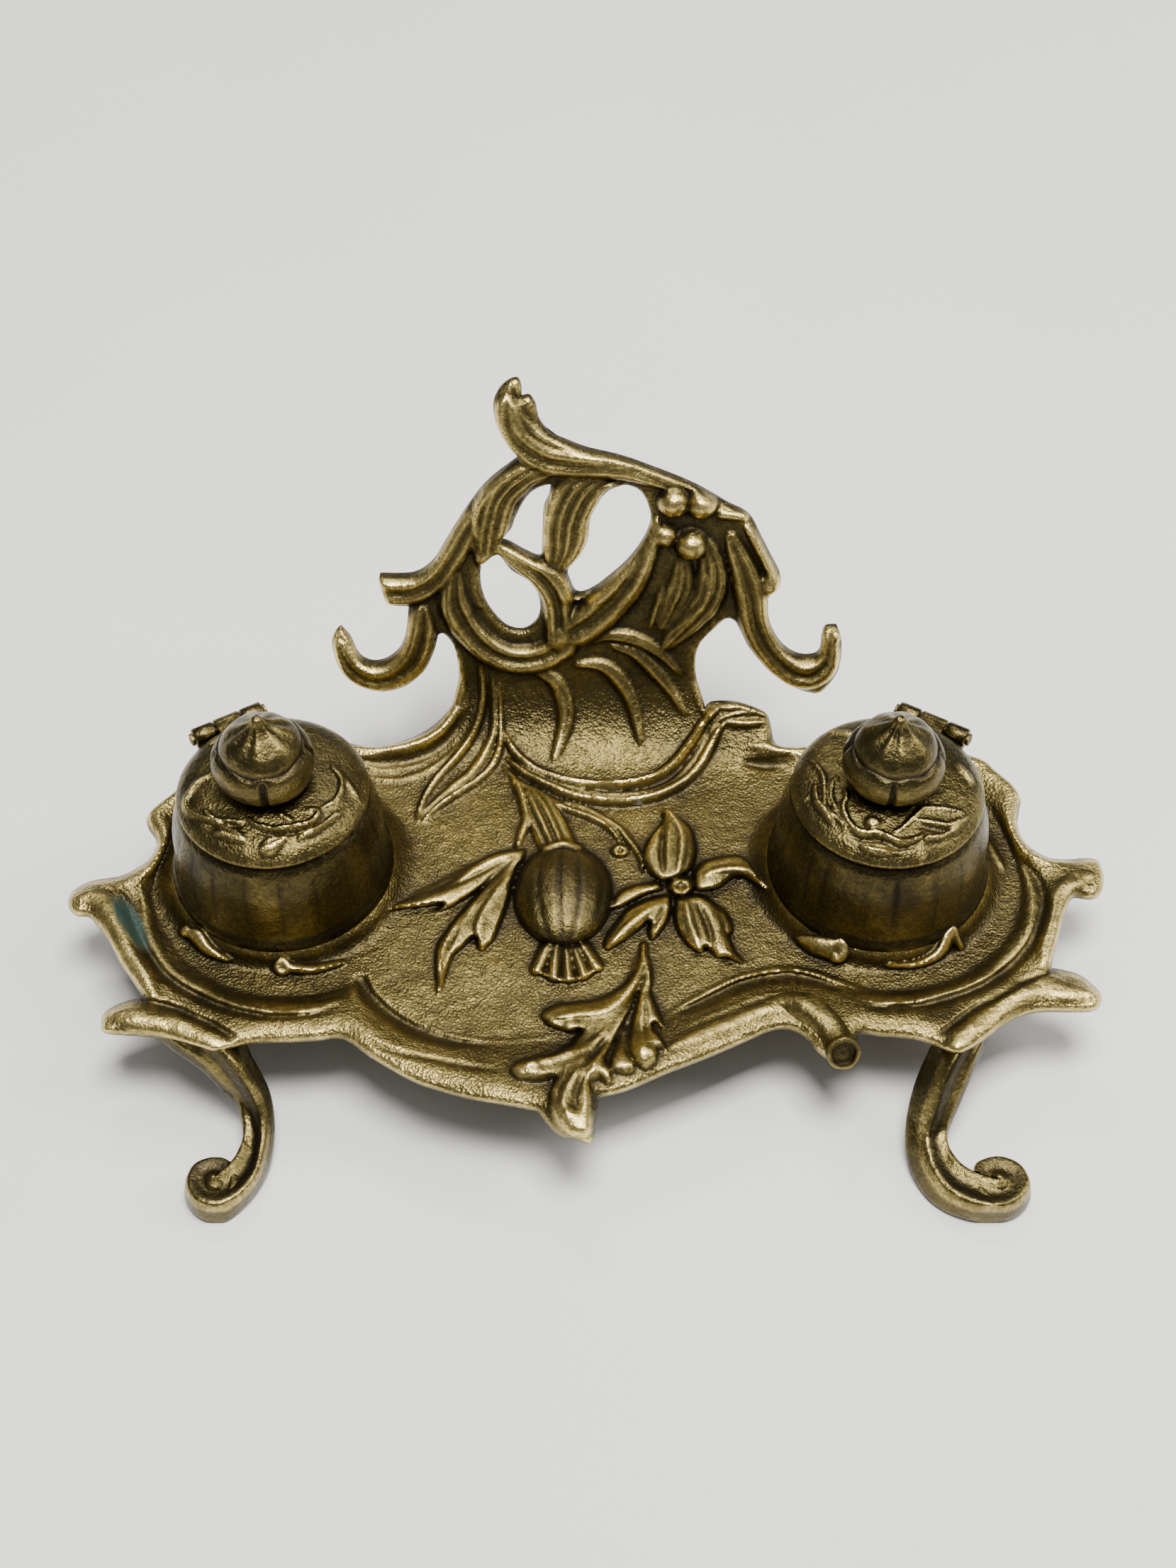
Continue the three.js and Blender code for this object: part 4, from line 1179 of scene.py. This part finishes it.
# ---- legs: a tapering strap between two rails that rolls up into a foot ----
FRONT_LEFT_LEG = {
    "ridge": [(-108, -42.6, 29.6), (-101, -46, 30.4), (-94.5, -50, 30.2), (-88.8, -54.6, 24.0),
              (-85.3, -58, 15), (-83.9, -62.5, 11), (-83.9, -68, 9.5), (-85, -74.5, 9), (-88.5, -80.3, 9),
              (-94, -83.4, 9), (-99.5, -81.7, 9), (-102, -77, 9), (-100.8, -72.3, 9), (-97.5, -70.3, 9),
              (-94, -70.2, 9), (-91.8, -71.3, 9)],
    "inner": [(-112, -43, 28), (-105, -47.8, 27), (-99, -51, 24), (-94.5, -53.5, 18.5), (-91, -55.5, 13.5),
              (-89.4, -60, 10.2), (-89, -64, 9.2), (-89.8, -67.5, 9), (-91, -70.5, 9), (-93.5, -74, 9.2),
              (-95, -76, 9.3)] + [(-95, -76.5, 9.3)] * 5,
    "outer": [(-98, -38, 22), (-90, -42, 22), (-87, -46.5, 20), (-84.5, -50, 17), (-82.4, -53.5, 13),
              (-81.4, -59, 7.5), (-81.9, -65.5, 3), (-83.4, -71, 0.8), (-86.8, -77.5, 0),
              (-92.5, -83.6, 0), (-99, -83, 0), (-103.2, -77.5, 0), (-101.8, -71.3, 0), (-97.8, -69.2, 0),
              (-93.8, -69.5, 0), (-92, -71.5, 0)],
}
FRONT_RIGHT_LEG = {
    "ridge": [(103, -37.5, 28.2), (99.5, -43.5, 29.2), (95, -50.2, 29.0), (90.5, -57.3, 22.5),
              (87.6, -64, 12), (87.5, -69, 10), (88.7, -74, 9.3), (92, -79.3, 9), (97, -82.6, 9),
              (103, -84, 9), (108.5, -82.3, 9), (112, -77.5, 9), (110.5, -72.2, 9), (105.5, -69.8, 9),
              (100.3, -71.3, 9), (99, -74, 9)],
    "inner": [(106, -37.5, 26), (102.5, -44.5, 26), (99, -51.2, 23.8), (95.6, -57, 17), (92.8, -62, 10.8),
              (92.8, -66.5, 9.2), (95, -71, 9), (98, -73.8, 9), (101, -75, 9),
              (103, -76, 9.2)] + [(104.5, -76.5, 9.3)] * 6,
    "outer": [(99, -38, 22), (91, -42, 22), (87.5, -46.5, 19.5), (84.5, -52, 14), (82.6, -58.5, 8.5),
              (82.3, -65, 4.5), (84, -71.5, 1.5), (88, -78, 0), (94, -82.2, 0), (102, -84.1, 0),
              (109.5, -82.5, 0), (113.2, -77.5, 0), (111.5, -71, 0), (105.5, -68.8, 0), (100, -70.5, 0),
              (99.2, -73.8, 0)],
}
LEG_STEPS = 8                # rings between two points of a rail
RING_STEPS = 4               # points between two corners of a ring
RING_WEAR_AND_PAINTED_LIGHT = (1.0, 0.5, 0.45, 0.25, 0.25, 0.75, 0.2)     # painted highlight on ridge and bead, painted shade below and in the hollow, over rubbed wear, at the corners from the ridge round


def rail(points):
    """A rail sampled evenly between its points, so that all rails keep step."""
    parts = [stretch(*four, LEG_STEPS) for four in stretches(with_ends(points))]
    return np.vstack(parts + [np.array(points[-1], float)])


def ring_through(corners):
    """A closed smooth section through a few corners."""
    loop = np.vstack([corners[-1], corners, corners[:2]])
    return np.vstack([stretch(*four, RING_STEPS) for four in stretches(loop)])


def leg_shell(rails):
    """The strap's closed shell: ridge, hollow face, inner bead and outer bead."""
    ridge, inner, outer = (rail(rails[key]) for key in ("ridge", "inner", "outer"))
    rings, wear = [], []
    for top, bead, low in zip(ridge, inner, outer):
        under = np.array([bead[0], bead[1], max(0.0, bead[2] - 5.0)])
        if low[2] < 2:
            under[2] = 0.0
        face = (top * 0.55 + low * 0.45) + 0.10 * (top - bead) * [1, 1, 0]
        valley = (top + bead) / 2 - [0, 0, 0.12 * np.linalg.norm(top - bead)]
        bottom = (low + under) / 2
        ring = ring_through(np.array([top, face, low, bottom, under, bead, valley]))
        rings.append(ring)
        # each corner's painted light: lit ridge and bead lighter, underside and hollow darker
        wear.append(np.repeat(RING_WEAR_AND_PAINTED_LIGHT, RING_STEPS))
    size = len(rings[0])
    points = np.vstack(rings)
    faces = []
    for i in range(len(rings) - 1):
        faces += band(size, i * size, (i + 1) * size)
    faces.append(list(range(size))[::-1])
    faces.append([len(points) - size + k for k in range(size)])
    points[:, 2] = np.maximum(points[:, 2], 0)
    points[:, 1] = np.maximum(points[:, 1], CAD_BOX[0][1] / MM - shift_y)
    return points, faces, np.clip(0.24 + 0.54 * np.concatenate(wear), 0, 1)


def foot_disc(centre):
    """The rolled-up foot under the scroll, with a small eye."""
    profile = [(0, 0), (5.9, 0), (6.3, 0.3), (6.5, 1.2), (6.5, 7.0), (6.1, 8.0), (4.6, 8.3), (3.4, 7.6),
               (2.6, 8.2), (1.6, 9.0), (0, 9.2)]
    points, faces = revolve(np.maximum(smooth(profile, 0.8), 0), 48)
    return points + [centre[0], centre[1], 0], faces


def tongue(foot):
    """The flat tongue that is screwed to the tray's underside, on the same side as the foot."""
    x, y = TONGUE_PLACE
    return bevelled_block(TONGUE_SIZE, (math.copysign(x, foot[0]), y, TONGUE_TOP - 1.75), 1.2)


def build_leg(name, rails, foot, rear=False, mirrored=False):
    """A scroll leg; a rear one is a front one turned to face back and kept under the tray."""
    solid = Solid()
    solid.add(*leg_shell(rails))
    solid.add(*foot_disc(foot), wear=0.5)
    solid.add(*tongue(foot), wear=0.35)
    for shell in solid.points:
        if mirrored:
            shell[:, 0] = -shell[:, 0]
        if rear:
            shell[:, 1] = REAR_LEG_SHIFT - shell[:, 1]
            shell[:, 2] = np.minimum(shell[:, 2], TONGUE_TOP)
        shell[:, 1] += shift_y
    place_piece(solid.make(name + "_scroll", 60), "stand", "cast_brass", shaded_leg_brass, name)


# ---- wells, lids and finials ----
WELL_WALL = [(0, 30.6), (28.6, 30.6), (29.6, 31.2), (29.7, 33.0), (29.3, 34.2), (28.9, 34.9), (28.6, 36.5),
             (28.3, 39.2), (28.1, 42.5), (28, 46), (27.9, 49), (27.4, 52), (26.6, 55), (25.6, 57.8),
             (24.8, 58.9), (24.3, 59.5), (23.6, 59.9)]
WELL_MOUTH = [(22.0, 60), (21.5, 59.7), (21.5, 40), (20.8, 39.2), (0, 39)]
LID_TOP = [(24.3, 60.5), (25.0, 61.1), (25.1, 61.9), (24.4, 62.9), (23.4, 63.9), (22.2, 64.7), (20, 65.6),
           (17, 66.2), (13, 66.8), (9, 67.2), (5, 67.4), (0, 67.4)]
LID_UNDER = [(0, 64), (20.7, 64), (21.2, 63.6), (21.2, 60.8), (21.5, 60.4), (23.4, 60.4), (24.3, 60.5)]
FINIAL = [(0, 67.4), (6.6, 67.5), (9.2, 68.2), (11.6, 69.8), (12.9, 72.2), (13.3, 74.4), (12.9, 76.6),
          (12.0, 78.4), (11.1, 79.2), (10.7, 79.3), (10.6, 79.9), (10.2, 81.2), (8.9, 83.2), (7.0, 84.9),
          (4.9, 86.4), (3.3, 87.6), (2.2, 88.8), (1.6, 90.1), (0.9, 90.9), (0, 91)]
FINIAL_LEAN = {"left": -1.3, "right": 0.5}   # the buds sit a little off the middle of their lids


def barrel(length, middle):
    """A hinge knuckle lying along the well's own x axis, with chamfered ends."""
    half = length / 2
    shoulder = half - KNUCKLE_CHAMFER
    face = KNUCKLE_RADIUS - KNUCKLE_CHAMFER
    profile = [(KNUCKLE_BORE, -half), (face, -half), (KNUCKLE_RADIUS, -shoulder),
               (KNUCKLE_RADIUS, shoulder), (face, half), (KNUCKLE_BORE, half)]
    points, faces = revolve(profile, 32, closed=True)
    points = points[:, [2, 1, 0]] * [1, -1, 1]
    return points + [middle, HINGE_REACH, HINGE_Z], faces


def build_well(side):
    """A round well with worn flutes, and the outer knuckles of its hinge."""
    profile = np.vstack([[WELL_WALL[0]], smooth(WELL_WALL[1:], 0.8), WELL_MOUTH])
    points, faces = revolve(profile, 168)
    x, y, z = points.T
    angle = np.arctan2(y, x)
    outer = (np.hypot(x, y) > 22.5) & (z > 34)
    phase = 0.6 if side == "left" else 2.1
    flutes = 0.22 * np.cos(12 * angle + phase)
    for k in range(FLUTES):
        middle = (k + random.uniform(-0.25, 0.25)) * 2 * math.pi / FLUTES
        middle = middle + 0.001 * (z - 48) * random.uniform(-1, 1)
        away = np.angle(np.exp(1j * (angle - middle)))
        flutes = flutes - random.uniform(0.5, 1.2) * np.exp(-(away / 0.022) ** 2)
    flutes = flutes * ease(36, 42, z) * ease(59, 54, z)
    lean = 0.35 * np.sin(3 * angle + phase) + 0.2 * np.sin(7 * angle + 0.2 * z)
    change = np.where(outer, 0.22 * flutes - 0.15 + 0.12 * lean, 0)
    scale = 1 + change / np.maximum(np.hypot(x, y), 1)
    points[:, 0] *= scale
    points[:, 1] *= scale
    # painted shade in the flutes, under the lid's edge at the top, in the crease at the foot and inside the
    # bore; the flute streaks also stand for wear
    wear = np.where(outer, 0.50 + 0.26 * flutes + 0.06 * lean - 0.40 * ease(59.0, 59.8, z)
                    - 0.20 * np.exp(-((z - 34.6) / 0.5) ** 2), 0.35)
    solid = Solid().add(about_well(points, side), faces, wear)
    for end in (-1, 1):
        middle = end * (MIDDLE_KNUCKLE / 2 + GAP + OUTER_KNUCKLE / 2)
        solid.add(*on_well(barrel(OUTER_KNUCKLE, middle), side), wear=0.62)
        under_pin = (middle, HINGE_REACH - 3.6, HINGE_Z - 2.7)
        lug = bevelled_block((OUTER_KNUCKLE - 0.2, 5.6, 4.6), under_pin, 0.5)
        solid.add(*on_well(lug, side), wear=0.5)
    place_piece(solid.make("well_wall_" + side, 50), "stand", "cast_brass", shaded_well_brass, "well_" + side)


def left_lid_relief(r):
    """Vine round the left lid, from the hinge's left end to its right."""
    r.ridge([(-97, 11.5), (-98, 9.5), (-101, 8), (-102.5, 5.5), (-104, 2.5), (-103.5, 0), (-101, -2.5),
             (-98, -4.3), (-95, -5.3), (-92, -5.5), (-88, -6)], 0.9, 1.0)
    r.groove([(-98, -5.4), (-95, -6.6), (-91, -6.8), (-87.5, -7)], 0.9, 0.6)
    r.ridge([(-86.5, -5), (-85, -7), (-82, -8), (-80, -8.5), (-77, -8), (-74, -7.2), (-71, -6.2),
             (-69.5, -4.5), (-69, -2.5), (-70.5, -2), (-72, -2)], 1.0, 1.3)
    r.groove([(-85, -8.4), (-80, -9.7), (-74, -8.6), (-69, -6.5), (-67, -3)], 0.9, 0.7)
    r.ridge([(-69, -2), (-67, -0.5), (-65, 1), (-63.8, 4), (-63.5, 7), (-64.5, 10), (-66, 11.5),
             (-67, 14)], 1.0, 1.0)
    r.ridge([(-63, 9), (-61, 6), (-59.2, 3.5)], 0.9, 0.7)
    r.ridge([(-79.5, -3), (-77, -5), (-75, -6.5)], 1.0, 0.8)
    r.pad([[(-85, -14.8), (-80, -16), (-77, -13.5), (-75, -10), (-78, -9.5), (-82, -10.5)]],
          0.9, 0.8, 0.5, 3)
    r.pad([[(-97, -7.5), (-92, -7.5), (-87, -9), (-86, -13), (-90, -12.5), (-95, -10.5)]], 0.6, 0.8, 0.4, 3)
    r.groove([(-84, -14), (-80, -12), (-77, -10.5)], 0.7, 0.5)
    r.pad([[(-100, -1), (-97, -6), (-91, -10), (-87, -12.5), (-88, -8.5), (-93, -5.5), (-97, -1)]],
          0.9, 0.8, 0.5, 3)
    r.pad([[(-74, -12.5), (-68, -9.5), (-63, -4), (-61.5, 1), (-65, -1.5), (-69, -5.5), (-74, -9.5)]],
          0.9, 0.8, 0.5, 3)
    r.groove([(-98, -3.5), (-92, -8), (-88, -10.5)], 0.6, 0.6)
    r.groove([(-73, -11), (-67, -7), (-62.5, -0.5)], 0.6, 0.6)
    r.ridge([(-100, 21), (-97, 24), (-93, 27)], 1.0, 0.6)


def right_lid_relief(r):
    """Vine round the right lid, with a berry at the front."""
    r.ridge([(58, 16), (60, 12), (61, 8.5), (60.8, 4), (61, 0), (62.5, -3), (64.5, -5.5), (66, -8.5)],
            0.9, 0.9)
    r.ridge([(65, 9), (63.5, 7.5), (62.5, 4), (63, 0), (64.5, -4)], 0.8, 0.7)
    r.ridge([(66, 5), (66.5, 2), (65.5, -0.5), (65.5, -3), (66.5, -6), (68.5, -8.5), (71, -9.5), (73, -9),
             (75, -10), (77, -11), (79, -12), (82, -11.5), (84.5, -10.5), (85, -9)], 1.0, 1.3)
    r.groove([(66, -9.5), (71, -10.9), (75, -11.3), (79, -13.2), (84, -12.2)], 0.8, 0.7)
    r.ridge([(77, -10), (80, -8), (82, -6), (84, -4), (86, -2), (90, -1.6), (94, -2), (97.5, -2.5)],
            0.9, 0.9)
    r.ridge([(83, -5.3), (88, -6.2), (92, -6.5), (95, -5), (98, -2.5)], 1.0, 1.1)
    r.groove([(84, -7), (90, -7.9), (95, -6.5)], 0.8, 0.6)
    r.knob((72.5, -6.6), 1.9, 1.7)
    r.pad([[(83, -15), (85, -12.5), (87, -13.5), (86, -16), (84, -17)]], 0.8, 0.8, 0.4, 3)
    r.pad([[(68, -11), (74, -12.5), (79, -14), (77, -16), (71, -15), (68, -13)]], 0.6, 0.8, 0.4, 3)
    r.groove([(55.5, 2.3), (60, 2)], 0.6, 0.5)
    r.pad([[(57.5, 8), (57, 2), (59.5, -4), (63, -8), (63, -3), (60.5, 2), (60, 7)]], 0.9, 0.8, 0.5, 3)
    r.pad([[(84, -13), (90, -11.5), (96, -7), (99.5, -1), (95.5, -3.5), (90, -8), (85, -9.5)]],
          0.9, 0.8, 0.5, 3)
    r.groove([(86, -11.5), (92, -8.5), (98, -2.5)], 0.6, 0.6)
    r.ridge([(63, 25.5), (67, 25), (70, 24)], 0.9, 0.7)
    r.ridge([(96, 14), (98.5, 10.5), (100, 7.5)], 1.0, 0.8)


LID_RELIEF = {"left": left_lid_relief, "right": right_lid_relief}


def build_lid(side):
    """A domed lid with its vine, and the middle knuckle of its hinge."""
    x_range = (well_x[side] - LID_REACH, well_x[side] + LID_REACH)
    relief = Relief(x_range, (WELL_Y - LID_REACH, WELL_Y + LID_REACH), LID_GRID)
    LID_RELIEF[side](relief)
    relief.finish(0.7, 0.05)
    profile = np.vstack([LID_UNDER[:-1], smooth(LID_TOP, 0.45)])
    points, faces = revolve(profile, 200)
    points = about_well(points, side)
    away = np.hypot(points[:, 0] - well_x[side], points[:, 1] - WELL_Y - shift_y)
    top = (points[:, 2] > 61.5) & ((points[:, 2] > 64.3) | (away > 21.5))
    change = relief.sample(relief.height, points[:, 0], points[:, 1] - shift_y)
    points[:, 2] += np.where(top, change * ease(24.6, 23.2, away), 0)
    polish_and_painted_light = relief.sample(relief.wear, points[:, 0], points[:, 1] - shift_y)
    # painted highlight towards the lid's edge, painted shade round the bud and under the lid, over the
    # relief's wear and painted light
    wear = np.where(top, polish_and_painted_light + 0.10 * ease(22, 24.5, away) - 0.12 * ease(15, 9, away),
                    0.25 + 0.3 * ease(60.8, 61.6, points[:, 2]))
    grain = np.where(top & (away > 10), 0.6, 0)
    solid = Solid().add(points, faces, wear, grain)
    solid.add(*on_well(barrel(MIDDLE_KNUCKLE, 0), side), wear=0.6)
    leaf = bevelled_block((MIDDLE_KNUCKLE, 6.2, 2.2), (0, HINGE_REACH - 3.1, HINGE_Z + 1.6), 0.4)
    solid.add(*on_well(leaf, side), wear=0.55)
    place_piece(solid.make("lid_cover_" + side, 50), side + "_lid", "cast_brass", shaded_lid_brass, "lid_" + side)


def build_finial(side):
    """The bud on a lid: four slits round its widest part and a puckered, pointed crown."""
    points, faces = revolve(smooth(FINIAL, 0.5), 128)
    x, y, z = points.T
    away, angle = np.hypot(x, y), np.arctan2(y, x)
    first = math.radians(-84 if side == "left" else -97)
    turn = np.angle(np.exp(1j * 4 * (angle - first))) / 4
    slit = np.exp(-((turn * away) / 0.85) ** 4) * ease(68.6, 70.0, z) * ease(79.4, 77.8, z)
    pucker = np.cos(9 * angle + 1.1 * np.sin(2 * angle + first)) * ease(81.0, 85.5, z) * ease(90.6, 88.6, z)
    dent = 0.30 * np.sin(3 * angle + first) * ease(70, 74, z) * ease(84, 80, z)
    change = 0.30 * pucker - 1.1 * slit + dent * 0.6
    change = np.where(away > 0.5, change, 0)
    scale = 1 + change / np.maximum(away, 0.5)
    points[:, 0] *= scale
    points[:, 1] *= scale
    lip = ease(78.6, 79.3, z) * ease(80.6, 79.8, z)
    points[:, 2] += 0.3 * lip * np.sin(7 * angle + first)
    # painted shade in the slits and under the lip, painted highlight towards the tip, partly rubbed wear on
    # the puckers
    wear = 0.50 + 0.12 * pucker - 0.45 * slit - 0.28 * lip + 0.12 * ease(88, 90, z)
    x, y, z = points.T
    lean = FINIAL_LEAN[side] * ease(67.4, 72, z)
    points = np.column_stack([x + well_x[side] + lean, y + WELL_Y + shift_y, z])
    solid = Solid().add(points, faces, np.clip(wear, 0, 1), 0.12)
    stud, stud_faces = revolve([(0, 60.8), (1.6, 60.8), (2.0, 61.2), (2.0, 67.8), (0, 67.8)], 24)
    solid.add(stud + [well_x[side], WELL_Y + shift_y, 0], stud_faces, 0.4)
    made = solid.make("bud_finial_" + side, 50)
    place_piece(made, side + "_lid", "cast_brass", shaded_lid_brass, "lid_finial_" + side)


def build_liner(side):
    """The glass ink cup."""
    outer = WELL_BORE - 0.4
    inner = outer - 2.6
    profile = [(0, 39.3), (outer - 1.2, 39.3), (outer - 0.3, 39.7), (outer, 40.5), (outer, 58.6),
               (outer - 0.6, 59.2), (inner + 0.6, 59.2), (inner, 58.6), (inner, 43.0), (inner - 0.5, 42.0),
               (inner - 1.8, 41.5), (0, 41.5)]
    points, faces = revolve(profile, 72)
    cup = Solid().add(points + [well_x[side], WELL_Y + shift_y, 0], faces)
    place_piece(cup.make("glass_cup_" + side, 35), "stand", "ink_liner", glass, "ink_liner_" + side)


# ---- scene ----
def build_floor():
    """A sheet of paper, five metres across."""
    grid = bmesh.new()
    bmesh.ops.create_grid(grid, x_segments=8, y_segments=8, size=2.5)
    mesh = bpy.data.meshes.new("floor")
    grid.to_mesh(mesh)
    grid.free()
    floor = bpy.data.objects.new("floor", mesh)
    bpy.context.scene.collection.objects.link(floor)
    floor.data.materials.append(floor_paper("floor_paper"))


def area_light(name, place, aim, size, power, colour):
    """A rectangular lamp, in metres and watts, that faces its aim."""
    data = bpy.data.lights.new(name, "AREA")
    data.shape = "RECTANGLE"
    data.size, data.size_y = size
    data.energy = power
    data.color = colour
    light = bpy.data.objects.new(name, data)
    bpy.context.scene.collection.objects.link(light)
    light.location = place
    light.rotation_euler = (Vector(aim) - Vector(place)).to_track_quat("-Z", "Y").to_euler()


def build_lights():
    """A dim room that is brighter overhead, with a soft ceiling light, a window and a lamp behind."""
    world = bpy.data.worlds.new("room")
    world.use_nodes = True
    tree = world.node_tree
    sky = add_node(tree, "ShaderNodeTexCoord", name="Coordinates").outputs["Generated"]
    height = add_node(tree, "ShaderNodeSeparateXYZ")
    tree.links.new(sky, height.inputs[0])
    glow = ramp(tree, height.outputs["Z"], [
        (0.00, (0.12, 0.12, 0.125)),
        (0.50, (0.20, 0.20, 0.20)),
        (0.85, (0.36, 0.36, 0.355)),
        (1.00, (0.60, 0.60, 0.59)),
    ])
    tree.links.new(glow, tree.nodes["Background"].inputs["Color"])
    bpy.context.scene.world = world
    area_light("ceiling", (0.1, -0.2, 1.6), (0, 0, 0), (0.7, 0.5), 42, (1.0, 0.98, 0.95))
    area_light("window", (1.3, 0.1, 1.2), (0, 0, 0.02), (0.6, 0.9), 14, (1.0, 0.98, 0.95))
    area_light("far_lamp", (-0.15, 1.0, 1.5), (0, 0, 0.02), (0.30, 0.14), 6, (1.0, 0.97, 0.92))


def build_camera():
    """From the front, looking down about 50 degrees."""
    data = bpy.data.cameras.new("camera")
    data.lens = 56.15
    data.sensor_width = 36
    camera = bpy.data.objects.new("camera", data)
    camera.location = (0, -0.401, 0.5539)
    camera.rotation_euler = (math.radians(39.5), 0, 0)
    bpy.context.scene.collection.objects.link(camera)
    bpy.context.scene.camera = camera


build_camera()
build_floor()
build_lights()

build_castings()
build_leg("front_leg_left", FRONT_LEFT_LEG, LEFT_FOOT)
build_leg("front_leg_right", FRONT_RIGHT_LEG, RIGHT_FOOT)
for side in SIDES:
    build_leg("rear_leg_" + side, FRONT_RIGHT_LEG, RIGHT_FOOT, rear=True, mirrored=(side == "left"))
    build_well(side)
    build_liner(side)
    build_lid(side)
    build_finial(side)

# the hinge pins, screws and nuts keep their CAD meshes
for node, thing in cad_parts.items():
    if thing.hide_render:
        continue
    thing.data.materials.clear()
    thing.data.materials.append(steel if "screw" in node else dark_brass)
